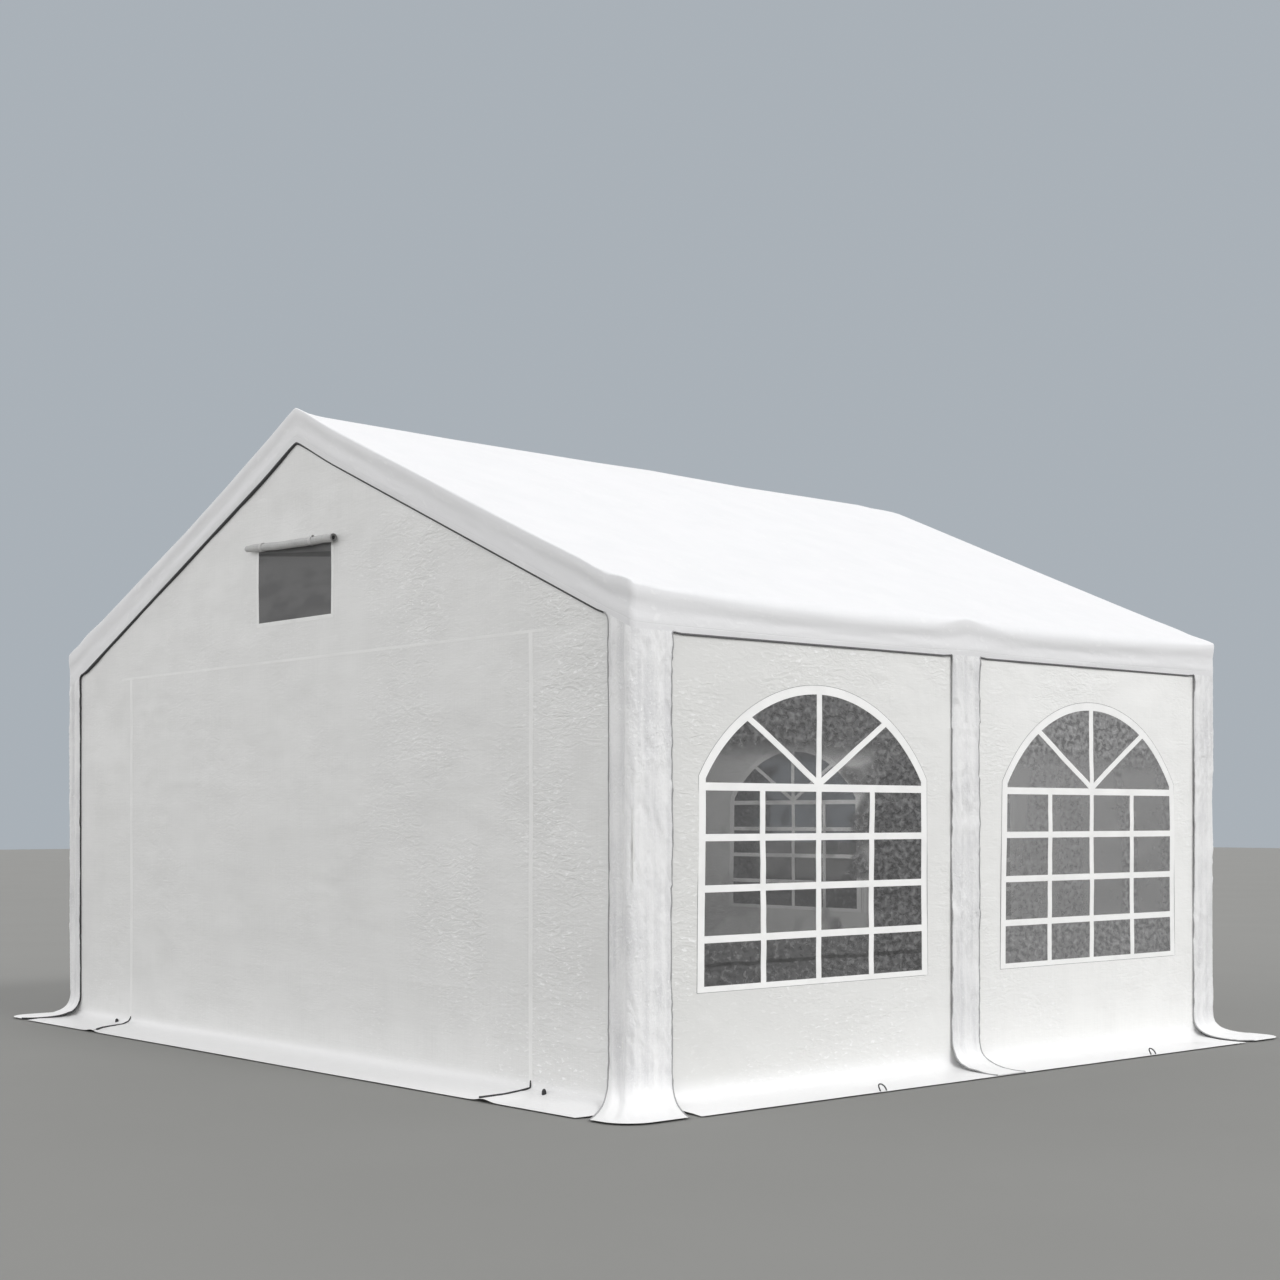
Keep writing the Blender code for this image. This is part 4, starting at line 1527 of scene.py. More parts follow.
@dataclass
class RoofCover:
    """Roof cloth and its valance as one sheet, eased over the purlins and rafters.

    Attributes:
        lines: The tent's lines.
        pitch: Distance between the net's points on the slopes.
        rim_pitch: Distance between the net's points along the edge.
        rows: Rows of points down the valance.
        turn_rows: Rows of points over the rounded edge.
        sag: How far the cloth sags in the middle of each field.
        bulge: How far the eave's edge swells outward between the joints.
        back_drop: How much lower the back rake's edge hangs.
        rake_places: Places along the front rake at which its edge is lifted.
        rake_lifts: How far it is lifted there.
        flat_shift: Where the slopes lie in the flat cut, clear of the valance.
    """

    lines: TentLines
    pitch: float = 0.038
    rim_pitch: float = 0.018
    rows: int = 14
    turn_rows: int = 7
    sag: float = 0.016
    bulge: float = 0.003
    back_drop: float = 0.015
    rake_places: tuple[float, ...] = (-2.465, -2.3, -2.2, -2.06, -1.8, -1.55, -1.1, -0.6, -0.3, 2.14, 2.24,
                                      2.33, 2.38, 2.42, 2.45, 2.465)
    rake_lifts: tuple[float, ...] = (0.018, 0.025, 0.025, 0.014, 0.010, 0.004, -0.009, -0.005, 0.0, 0.0,
                                     -0.003, 0.004, 0.010, 0.014, 0.016, 0.006)
    flat_shift: tuple[float, float] = (20.0, 10.0)
    valance_folds: Folds = (
        Fold(FoldKind.SWELL, 0.0030, 0.75, 0.075, 11),
        Fold(FoldKind.SWELL, 0.0016, 0.28, 0.036, 12, 0.6),
        Fold(FoldKind.CREASE, 0.0012, 0.42, 0.06, 13, 0.4),
    )
    slope_folds: Folds = (
        Fold(FoldKind.SWELL, 0.0060, 0.85, 1.1, 21),
        Fold(FoldKind.SWELL, 0.0030, 0.30, 0.55, 22, 0.5),
        Fold(FoldKind.CREASE, 0.0014, 0.55, 0.35, 23, 0.3, 0.8),
    )

    # Points round a corner, radii over the edge, place, height and width of the bumps over the
    # joints, height of the fans beside them, and depth of the roll down the valance
    CORNER_STEPS: ClassVar[int] = 6
    TIGHT_RADIUS: ClassVar[float] = 0.0075
    EAVE_RADIUS: ClassVar[float] = 0.030
    JOINT_INSET: ClassVar[float] = 0.03
    JOINT_BUMP: ClassVar[float] = 0.007
    JOINT_WIDTH: ClassVar[float] = 0.075
    FAN_HEIGHT: ClassVar[float] = 0.0030
    ROLL: ClassVar[float] = 0.0026

    def rim(self) -> tuple[Array, Array, Array]:
        """Points of the cover's edge in plan.

        Returns:
            The points, their outward directions, and their distance along the edge, with the whole
            length of the edge as a last value.
        """
        lines = self.lines
        radius = lines.corner
        points, faces = [], []
        for quarter in range(4):
            angle = math.radians(-90.0 + 90.0 * quarter)
            half, plane = (lines.cover_x, lines.cover_y)[:: 1 if quarter % 2 == 0 else -1]
            face = np.array([math.cos(angle), math.sin(angle)])
            way = np.array([-face[1], face[0]])
            steps = 2 * round((half - radius) / self.rim_pitch)
            for step in range(steps):
                share = -1.0 + 2.0 * step / steps
                points.append(face * plane + way * share * (half - radius))
                faces.append(face)
            for step in range(self.CORNER_STEPS):
                turn = math.pi / 2 * step / self.CORNER_STEPS
                round_face = face * math.cos(turn) + way * math.sin(turn)
                centre = face * (plane - radius) + way * (half - radius)
                points.append(centre + round_face * radius)
                faces.append(round_face)
        points, faces = np.array(points), np.array(faces)
        steps = np.linalg.norm(np.roll(points, -1, axis=0) - points, axis=1)
        return points, faces, np.concatenate([[0.0], np.cumsum(steps)])

    def on_eave(self, points: Array) -> Array:
        """Share from 0 to 1 by which points of the edge lie on an eave."""
        return blend_step(self.lines.cover_x - 0.02, self.lines.cover_x - 0.002, np.abs(points[:, 0]))

    def bay_share(self, points: Array) -> Array:
        """Share from 0 to 1 by which points of the edge lie on an eave, clear of its joints.

        Args:
            points: The points, one a row.

        Returns:
            One share for each point.
        """
        y = np.abs(points[:, 1])
        clear = 1.0 - bump_at(y, 0.0, 0.16) - bump_at(y, self.lines.cover_y, 0.56)
        return self.on_eave(points) * np.clip(clear, 0.0, 1.0)

    def edge_radius(self, points: Array) -> Array:
        """Radius with which the cloth turns over the edge, which is tight at the joints.

        Args:
            points: The points, one a row.

        Returns:
            The radius at each point.
        """
        waves = 0.5 + 0.5 * drift(points[:, 1] / 0.6, points[:, 0] / 3.0, 31)
        near_corner = bump_at(np.abs(points[:, 0]), self.lines.cover_x - 0.15, 0.045)
        rake = 0.008 * near_corner + 0.004 * drift(points[:, 0] / 0.5, points[:, 1] / 3.0, 32)
        eave = (self.EAVE_RADIUS + 0.006 * waves) * self.bay_share(points)
        return self.TIGHT_RADIUS + rake * (1.0 - self.on_eave(points)) + eave

    def height(self, points: Array) -> Array:
        """Height of the roof's cloth over points in plan, with its sags, swells and joint bumps.

        Args:
            points: The points, one a row.

        Returns:
            The height at each point.
        """
        lines = self.lines
        x, y = points[:, 0], points[:, 1]
        bay = np.abs(np.sin(math.pi * np.clip(np.abs(y) / (lines.cover_y - 0.036), 0.0, 1.0)))
        field_share = np.sin(math.pi * np.clip(np.abs(x) / (lines.cover_x - 0.036), 0.0, 1.0))
        open_share = bay**1.4 * np.clip(field_share, 0.0, 1.0) ** 0.8
        height = lines.roof(x, y) - self.sag * open_share
        height = height + relief_of(self.slope_folds, x + 5.0, y + 5.0) * (0.15 + 0.85 * open_share)
        for sign in (-1.0, 1.0):
            for frame_y in (-1.0, 0.0, 1.0):
                joint = np.hypot(x - sign * (lines.cover_x - self.JOINT_INSET),
                                 y - frame_y * (lines.cover_y - self.JOINT_INSET))
                height = height + self.JOINT_BUMP * bump_at(joint, 0.0, self.JOINT_WIDTH)
                from_corner = np.arctan2(y - frame_y * lines.cover_y, sign * lines.cover_x - x)
                fan = np.sin(from_corner * 9.0 + 1.3 * sign) * bump_at(joint, 0.32, 0.20)
                height = height + self.FAN_HEIGHT * fan * abs(frame_y)
        lift = np.interp(x, self.rake_places, self.rake_lifts)
        from_front = y + lines.cover_y
        near = np.where(lift > 0.0, blend_step(0.25, 0.0, from_front), blend_step(0.035, 0.004, from_front))
        back = blend_step(0.035, 0.004, lines.cover_y - y) * blend_step(2.30, 1.80, np.abs(x))
        return height + lift * near - self.back_drop * back

    def build(self) -> Piece:
        """Make the cover as one sheet.

        Returns:
            The cover.
        """
        lines = self.lines
        rim, faces_out, along = self.rim()
        count = len(rim)
        radius = self.edge_radius(rim)
        bulge = self.bulge * self.bay_share(rim)
        rings, levels = [], []
        for row in range(self.turn_rows):
            turn = math.pi / 2 * row / self.turn_rows
            inset = radius * (1.0 - math.sin(turn)) - bulge * math.sin(turn)
            plan = rim - faces_out * inset[:, None]
            rings.append(np.column_stack([plan, self.height(plan) - radius * (1.0 - math.cos(turn))]))
            levels.append(lines.drop + radius * (math.pi / 2 - turn))
        top = self.height(rim + faces_out * bulge[:, None]) - radius
        foot = lines.hem(rim[:, 0], rim[:, 1])
        for row in range(self.rows + 1):
            share = row / self.rows
            level = np.full(count, lines.drop * (1.0 - share))
            roll = self.ROLL * math.sin(2.0 * math.pi * (share * 1.15 + 0.20)) * (
                1.0 + 0.5 * drift(along[:-1] / 0.9, np.zeros(count), 14))
            off = (relief_of(self.valance_folds, along[:-1], level) + roll) * math.sin(math.pi * share) ** 0.6
            off = off + bulge * (1.0 - share) ** 2 - lines.recess * share
            rings.append(np.column_stack([rim + faces_out * off[:, None], top + (foot - top) * share]))
            levels.append(level)
        slope_flat, slope_faces = self.slope_net(rings[0][:, :2])
        inner = slope_flat[count:]
        points = np.concatenate([*rings, np.column_stack([inner, self.height(inner)])])
        slope_faces = np.where(slope_faces >= count, slope_faces + count * (len(rings) - 1), slope_faces)
        faces = slope_faces.tolist()
        flats = [points[slope_faces.ravel(), :2] + self.flat_shift]
        step = np.arange(count)
        following = (step + 1) % count
        for ring in range(len(rings) - 1):
            near, far = ring * count, (ring + 1) * count
            quads = [near + step, far + step, far + following, near + following]
            faces.extend(np.stack(quads, axis=1).tolist())
            corners = [along[:-1], levels[ring], along[:-1], levels[ring + 1],
                       along[1:], levels[ring + 1][following], along[1:], levels[ring][following]]
            flats.append(np.stack(corners, axis=1).reshape(-1, 2))
        return new_piece("roof_cover_cloth", points, faces, ROOF_CLOTH, "roof_cloth", np.concatenate(flats),
                         CLOTH, "roof_cover")

    def declare(self, piece: Piece, shade_cords: list[Piece]) -> None:
        """Args:
            piece: The cloth's piece.
            shade_cords: The pieces of the dark cords that paint the shadow round its openings.
        """
        lines = self.lines
        width = 2.0 * (math.hypot(lines.cover_x, lines.ridge - lines.eave) + lines.drop)
        length = 2.0 * (lines.cover_y + lines.drop)
        rests = ["ridge_purlin_front", "ridge_purlin_back", "rafter_left_front", "rafter_right_front"]
        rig.sheet(piece, flat=(width, length), held="stretched", rests_on=rests, with_pieces=shade_cords)

    def slope_net(self, rim: Array) -> tuple[Array, Array]:
        """Net of points over both slopes, inside the edge's innermost ring.

        Args:
            rim: Points of that ring in plan.

        Returns:
            All points in plan, the ring's first, and the triangles' point numbers.
        """
        low, high = rim.min(0), rim.max(0)
        pitch = self.pitch
        rows = np.arange(low[1] + pitch * 0.7, high[1] - pitch * 0.5, pitch * math.sqrt(0.75))
        half_count = math.floor((high[0] - pitch * 0.6) / pitch)
        x, y = np.meshgrid(np.arange(-half_count, half_count + 1) * pitch, rows)
        inner = np.stack([x.ravel(), y.ravel()], axis=1)
        inner = inner[inside(inner, [tuple(p) for p in rim])]
        points = np.concatenate([rim, inner])
        ring = list(range(len(rim)))
        _, faces = triangulated(points, list(zip(ring, ring[1:] + ring[:1])))
        return points, faces[inside(points[faces].mean(1), [tuple(p) for p in rim])]


# Strips over the posts

# Their folds, how far they reach up behind the valance, their thickness, the depth of their curled
# edges, how far their tops stand out, the pitch of their nets, and the steps round an inner corner
STRIP_FOLDS: Folds = (
    Fold(FoldKind.SWELL, 0.0036, 0.060, 0.55, 41),
    Fold(FoldKind.CREASE, 0.0050, 0.060, 0.34, 42, 0.12),
    Fold(FoldKind.CRUMPLE, 0.0056, 0.045, 0.13, 43, 0.2, 0.30),
    Fold(FoldKind.CRUMPLE, 0.0030, 0.026, 0.060, 44, 0.1, 0.20),
)
STRIP_LAP = 0.003
STRIP_THICKNESS = 0.0008
STRIP_CURL = 0.0025
STRIP_FRONT = 0.0011
STRIP_PITCH = (0.0095, 0.0155)
FILLET_STEPS = 6


def fillet_flats(base: float, sign: float, radius: float, top: float, foot: float) -> Outline:
    """Flat path up a strip's edge and round the inner corner at its top.

    Args:
        base: Place of the edge across the strip.
        sign: 1 if the corner widens toward higher u, -1 if toward lower.
        radius: The corner's radius.
        top: Distance up the strip at which the edge would meet the valance.
        foot: Distance up the strip at which the path starts.

    Returns:
        The path's flat points.
    """
    path = [(base, float(v)) for v in np.linspace(foot, top - radius, 150)]
    for step in range(1, FILLET_STEPS + 1):
        turn = math.pi / 2 * step / FILLET_STEPS
        path.append((base + sign * radius * (1.0 - math.cos(turn)), top - radius * (1.0 - math.sin(turn))))
    return path


def fillet_points(path: Array) -> Outline:
    """The last points of such a path, round the corner."""
    return [(float(u), float(v)) for u, v in path[-FILLET_STEPS - 1:]]


def make_strip(node: str, flat: Array, faces: Array, points: Array) -> Piece:
    """Make a strip's piece.

    Args:
        node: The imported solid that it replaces.
        flat: Its points in the flat cut.
        faces: Its triangles' point numbers.
        points: Its points in the tent's frame.

    Returns:
        The piece, which keeps its flat sizes.
    """
    piece = new_piece(node + "_cloth", points, faces, STRIP_CLOTH, "strip_cloth", flat, STRIP_THICKNESS, node)
    return keep_flat(piece, flat, faces)


@dataclass
class CornerStrip:
    """Strip that hangs from the valance round one corner post and flares into a bell.

    Attributes:
        lines: The tent's lines.
        side_name: left or right.
        end_name: front or back.
        gable_leg: Its width on the gable side.
        side_leg: Its width on the long side.
        hem_radius: Radius of the bell's corner at the hem, in plan.
        gable_draw: How far the gable edge moves outward by the hem.
        side_draw: How far the side edge moves outward by the hem.
        gable_fillet: Radius of the inner corner between the gable edge and the valance.
        side_fillet: Radius of the inner corner between the side edge and the valance.
        gable_folds: Upright folds on the gable side: their place, height and width.
    """

    lines: TentLines
    side_name: str
    end_name: str
    gable_leg: float = 0.145
    side_leg: float = 0.212
    hem_radius: float = 0.140
    gable_draw: float = 0.200
    side_draw: float = 0.150
    gable_fillet: float = 0.025
    side_fillet: float = 0.009
    gable_folds: tuple[tuple[float, float, float], ...] = (
        (0.112, 0.0055, 0.013), (0.135, -0.002, 0.010), (0.035, 0.005, 0.016), (0.078, -0.006, 0.011),
        (0.012, -0.003, 0.006))

    def __post_init__(self) -> None:
        """Work out the path at the foot, and which corner of the tent this is."""
        bend = 0.19 if (self.side_name, self.end_name) == ("right", "front") else 0.15
        if self.end_name == "back":
            self.side_leg = 0.190
        self.skirt = strip_skirt(self.lines.wall_x + self.lines.reach - self.lines.strip_x, bend)
        self.turn_x = 1.0 if self.side_name == "right" else -1.0
        self.turn_y = 1.0 if self.end_name == "front" else -1.0

    def spans(self, out: Array) -> tuple[Array, Array, Array]:
        """Lengths of the strip's parts.

        Args:
            out: How far the strip stands out.

        Returns:
            Length of the gable side, radius of the corner and length of the long side.
        """
        lines = self.lines
        share = out / self.skirt.reach
        corner = lines.corner - lines.recess
        radius = corner + (self.hem_radius - corner) * share**2.5
        first = lines.strip_x + out - radius - (lines.cover_x - self.gable_leg + self.gable_draw * share)
        last = lines.strip_y + out - radius - (lines.cover_y - self.side_leg + self.side_draw * share)
        return first, radius, last

    def width_at(self, out: float) -> float:
        """Width of the strip where it stands out by a distance."""
        first, radius, last = self.spans(np.array([out]))
        return float(first[0] + radius[0] * math.pi / 2 + last[0])

    def ring(self, p: Array, out: Array) -> tuple[Array, Array, Array, Array]:
        """Plan points of the strip.

        Args:
            p: Share of the way from the gable edge to the side edge.
            out: How far the strip stands out there.

        Returns:
            x, y, and the outward direction's x and y, for the right front corner.
        """
        first, radius, last = self.spans(out)
        arc = radius * math.pi / 2
        run = p * (first + arc + last)
        turn = np.clip((run - first) / radius, 0.0, math.pi / 2)
        before, after = np.minimum(run - first, 0.0), np.maximum(run - first - arc, 0.0)
        plan_x = self.lines.strip_x + out - radius + radius * np.sin(turn) + before
        plan_y = -(self.lines.strip_y + out - radius + radius * np.cos(turn) - after)
        return plan_x, plan_y, np.sin(turn), -np.cos(turn)

    def top_at(self, u: Array) -> Array:
        """Distance up the strip at which it meets the valance's hem.

        Args:
            u: Distance of each place along the strip.

        Returns:
            The distance at each place.
        """
        x, _, face_x, _ = self.ring(u / self.width_at(0.0), np.zeros_like(u))
        hem = self.lines.hem(np.minimum(x + self.lines.recess * face_x, self.lines.cover_x), np.zeros_like(x))
        return self.skirt.length + hem - self.skirt.bend + STRIP_LAP

    def edge(self, gable: bool, foot: float, beside: float = 0.0) -> Array:
        """Flat path up one edge and round its inner corner.

        Args:
            gable: Whether it is the edge on the gable side.
            foot: Distance up the strip at which it starts.
            beside: How far beside the edge it runs.

        Returns:
            The path's flat points.
        """
        base, sign, radius = (-beside, -1.0, self.gable_fillet) if gable else (
            self.width_at(0.0) + beside, 1.0, self.side_fillet)
        path = np.array(fillet_flats(base, sign, radius, 0.0, foot - float(self.top_at(np.array([base]))[0])))
        path[:, 1] += self.top_at(path[:, 0])
        return path

    def cut(self) -> Cut:
        """Flat cut of the strip, with u from the gable edge to the side edge.

        Returns:
            The cut.
        """
        width = self.width_at(0.0)
        first, radius, _ = (float(part[0]) for part in self.spans(np.zeros(1)))
        corner = first + radius * math.pi / 2 * np.linspace(1.0, 0.0, 7)
        top = [(float(u), float(v)) for u, v in zip(corner, self.top_at(corner))]
        rising, falling = (fillet_points(self.edge(gable, 0.0)) for gable in (False, True))
        return Cut(([(0.0, 0.0), (width, 0.0), *rising, *top, *falling[::-1]],), pitch=STRIP_PITCH)

    def place(self, flat: Array, wrinkled: bool = True) -> Array:
        """Hang flat points of the strip on the tent.

        Args:
            flat: The points in the flat cut.
            wrinkled: Whether the strip has its folds.

        Returns:
            The points in the tent's frame.
        """
        u, v = flat[:, 0], flat[:, 1]
        width = self.width_at(0.0)
        out, up, face_out, face_up = self.skirt.hang(v)
        plan_x, plan_y, face_x, face_y = self.ring(u / width, out)
        below_top = self.top_at(u) - v
        on_gable = 1.0 - blend_step(0.0, 1.0, face_x)
        shift = 3.0 * (self.turn_x < 0.0) + 7.0 * (self.turn_y < 0.0)
        off = relief_of(STRIP_FOLDS, u + shift, v) * (1.0 - 0.45 * on_gable)
        wander = 0.010 * drift(v / 0.7, np.zeros_like(v), 45)
        for place, height, spread in self.gable_folds:
            off = off + height * bump_at(u + wander, place, spread)
        off = off * blend_step(0.0, 0.12, v) * blend_step(0.0, 0.03, below_top)
        curl = blend_step(0.006, 0.0, u) + blend_step(width - 0.006, width, u)
        off = off - STRIP_CURL * curl * blend_step(0.0, 0.05, v) * blend_step(0.01, 0.06, below_top)
        off = off * float(wrinkled)
        off = off + STRIP_FRONT * blend_step(0.03, 0.004, below_top)
        x = plan_x + off * face_x * face_out
        y = plan_y + off * face_y * face_out
        z = np.maximum(up + off * face_up, self.skirt.lift * Hanging.LOWEST)
        return np.stack([x * self.turn_x, y * self.turn_y, z], axis=1)

    def build(self) -> Piece:
        """Make the strip.

        Returns:
            The strip.
        """
        flat, faces = self.cut().net()
        if self.turn_x * self.turn_y < 0.0:
            faces = faces[:, ::-1]
        piece = make_strip(f"corner_strip_{self.side_name}_{self.end_name}", flat, faces, self.place(flat))
        piece["flat_width"] = self.width_at(self.skirt.reach)
        piece["flat_area"] = triangle_area(self.place(flat, False), faces)
        declare_sheet(piece, "hung", ["roof_cover_cloth"])
        return piece


@dataclass
class MiddleStrip:
    """Strip that hangs from the valance over the middle post.

    Attributes:
        lines: The tent's lines.
        side: The long side that it hangs on.
        half: Half of its width.
        fillet: Radius of the inner corners where it meets the valance.
    """

    lines: TentLines
    side: Side
    half: float = 0.0945
    fillet: float = 0.008

    def __post_init__(self) -> None:
        """Work out the strip's place and the height of its top."""
        skirt = strip_skirt(self.lines.wall_x + self.lines.reach - self.lines.strip_x, 0.16)
        self.top = skirt.v_at(self.lines.eave - self.lines.drop) + STRIP_LAP
        self.hanging = Hanging(self.side, self.lines.strip_x, skirt, ())

    def edge(self, sign: float, foot: float, beside: float = 0.0) -> Array:
        """Flat path up one edge, chosen by its sign along, from its foot and beside it."""
        return np.array(fillet_flats(sign * (self.half + beside), sign, self.fillet, self.top, foot))

    def place(self, flat: Array) -> Array:
        """Hang flat points of the strip on the tent.

        Args:
            flat: The points in the flat cut, one a row.

        Returns:
            The points in the tent's frame, one a row.
        """
        u, v = flat[:, 0], flat[:, 1]
        below_top = self.top - v
        off = relief_of(STRIP_FOLDS, u + (11.0 if self.side is Side.LEFT else 17.0), v)
        off = off * blend_step(0.0, 0.12, v) * blend_step(0.0, 0.03, below_top)
        curl = blend_step(self.half - 0.006, self.half, np.abs(u)) * blend_step(0.01, 0.06, below_top)
        off = off + STRIP_FRONT * blend_step(0.03, 0.004, below_top)
        return self.hanging.points(flat, off - STRIP_CURL * curl * blend_step(0.0, 0.05, v))

    def build(self) -> Piece:
        """Make the strip.

        Returns:
            The strip.
        """
        rising, falling = (fillet_points(self.edge(sign, 0.0)) for sign in (1.0, -1.0))
        outline = [(-self.half, 0.0), (self.half, 0.0), *rising, *falling[::-1]]
        flat, faces = Cut((outline,), pitch=STRIP_PITCH).net()
        piece = make_strip(f"middle_strip_{self.side.label}", flat, faces, self.place(flat))
        declare_sheet(piece, "hung", ["roof_cover_cloth"])
        return piece


@dataclass(frozen=True)
class EdgePiping:
    """Dark cord laid round one opening of the cover, up a strip, under the valance and down again, that paints the
    shadow in the gap between the cover and the wall.

    Attributes:
        lines: The tent's lines.
        thin: Its radius on the first strip's edge and on the last one's.
        thick: Its radius under the valance, near the first strip and near the last.
        behind: How far it lies behind the valance's hem.
        below: How far its middle lies below the hem, as a share of its radius there.
        turn: Distance over which it moves from one to the other.
        finishes: What it is made of on the first strip, under the valance and on the last strip.
    """

    lines: TentLines
    thin: tuple[float, float] = (0.0034, 0.0034)
    thick: tuple[float, float] = (0.0050, 0.0050)
    behind: float = 0.005
    below: float = 0.75
    turn: float = 0.06
    finishes: tuple[Finish, Finish, Finish] = (PALE_SHADE_CORD, EDGE_SHADE_CORD, PALE_SHADE_CORD)

    # Points under the valance, and the share of that way by which each end stops short
    STATIONS: ClassVar[int] = 241
    END_SHARE: ClassVar[float] = 0.0006

    def build(self, name: str, first: Array, last: Array) -> list[Piece]:
        """Make the cord of painted shadow round one opening.

        Args:
            name: The piece's name.
            first: Path up the edge of the strip on one side.
            last: Path up the edge of the strip on the other side.

        Returns:
            Its three pieces.
        """
        lines = self.lines
        share = np.linspace(0.0, 1.0, self.STATIONS)
        share[[0, -1]] = self.END_SHARE, 1.0 - self.END_SHARE
        hem = first[-1] + (last[-1] - first[-1]) * share[:, None]
        along_side = np.abs(hem[:, 0]) > lines.strip_x - 0.002
        hem_x = np.where(along_side, lines.cover_x, hem[:, 0])
        hem[:, 2] = lines.hem(hem_x, hem[:, 1] * lines.cover_y / lines.strip_y)
        length = float(np.linalg.norm(last[-1] - first[-1]))
        ease = blend_step(0.0, self.turn, np.minimum(share, 1.0 - share) * length)
        axis = 0 if along_side[0] else 1
        hem[:, axis] -= np.sign(hem[:, axis]) * self.behind * ease
        thick = self.thick[0] + (self.thick[1] - self.thick[0]) * blend_step(0.46, 0.54, share)
        hem[:, 2] -= self.below * thick * ease
        thin = np.where(share < 0.5, *self.thin)
        parts = ((first, self.thin[0]), (hem, thin + (thick - thin) * ease), (last, self.thin[1]))
        # Painted shadow: dark cords in the gap between the cover and the wall.
        return [new_tube(f"{name}_{number}", path, radii, finish, "strip_cloth", 8)
                for number, ((path, radii), finish) in enumerate(zip(parts, self.finishes))]


@dataclass
class CoverEdges:
    """The strips that hang from the cover, and the dark cords between them that paint the shadow in the gaps.

    Attributes:
        lines: The tent's lines.
        foot: Distance up the strips at which those cords start.
        beside: How far beside the strips' edges it runs.
    """

    lines: TentLines
    foot: float = 0.004
    beside: float = 0.003

    def build(self) -> list[Piece]:
        """Make the strips and the cords of painted shadow.

        Returns:
            The cords' pieces.
        """
        corners = {(side, end): CornerStrip(self.lines, side, end)
                   for side in ("left", "right") for end in ("front", "back")}
        middles = {"right": MiddleStrip(self.lines, Side.RIGHT), "left": MiddleStrip(self.lines, Side.LEFT)}
        for strip in (*corners.values(), *middles.values()):
            strip.build()
        shade_cord = EdgePiping(self.lines)
        # On the rakes, near-black cords paint the deeper shadow behind the valance.
        rake_shade_cord = EdgePiping(self.lines, (0.0044, 0.0034), (0.0088, 0.0052),
                                 finishes=(DARK_CORD, DARK_CORD, PALE_SHADE_CORD))
        pieces = []
        for end in ("front", "back"):
            edges = [corners[side, end].place(corners[side, end].edge(True, self.foot, self.beside))
                     for side in ("left", "right")]
            pieces.extend(rake_shade_cord.build(f"edge_piping_{end}", *edges))
        for side, middle in middles.items():
            for end in ("front", "back"):
                corner = corners[side, end]
                toward_front = -1.0 if side == "right" else 1.0
                sign = toward_front if end == "front" else -toward_front
                edges = [corner.place(corner.edge(False, self.foot, self.beside)),
                         middle.place(middle.edge(sign, self.foot, self.beside))]
                pieces.extend(shade_cord.build(f"edge_piping_{side}_{end}", *edges))
        return pieces


# Windows

# How far the walls end below the roof, and the places up the cloth between which it bends
WALL_TOP_CLEAR = 0.014
BEND_ROWS = (0.19, 0.335)


@dataclass(frozen=True)
class WindowTrimCut:
    """Cut of a window's border ring and bars, welded into one.

    Attributes:
        arch: The window's outline inside the border.
        bars: Outlines of the bars.
    """

    arch: Arch
    bars: tuple[Outline, ...]

    # Distance between the net's points
    PITCH: ClassVar[tuple[float, float]] = (0.014, 0.014)

    def net(self) -> tuple[Array, Array]:
        """Triangulate the ring and the bars together.

        Returns:
            The flat points, one a row, and the triangles' point numbers.
        """
        inner = self.arch.outline(0.0)
        flat, faces = Cut((self.arch.outline(WINDOW_BORDER), inner, *self.bars), pitch=self.PITCH).net()
        centres = flat[faces].mean(1)
        kept = ~inside(centres, inner)
        for bar in self.bars:
            kept |= inside(centres, bar)
        return only_used(flat, faces[kept])


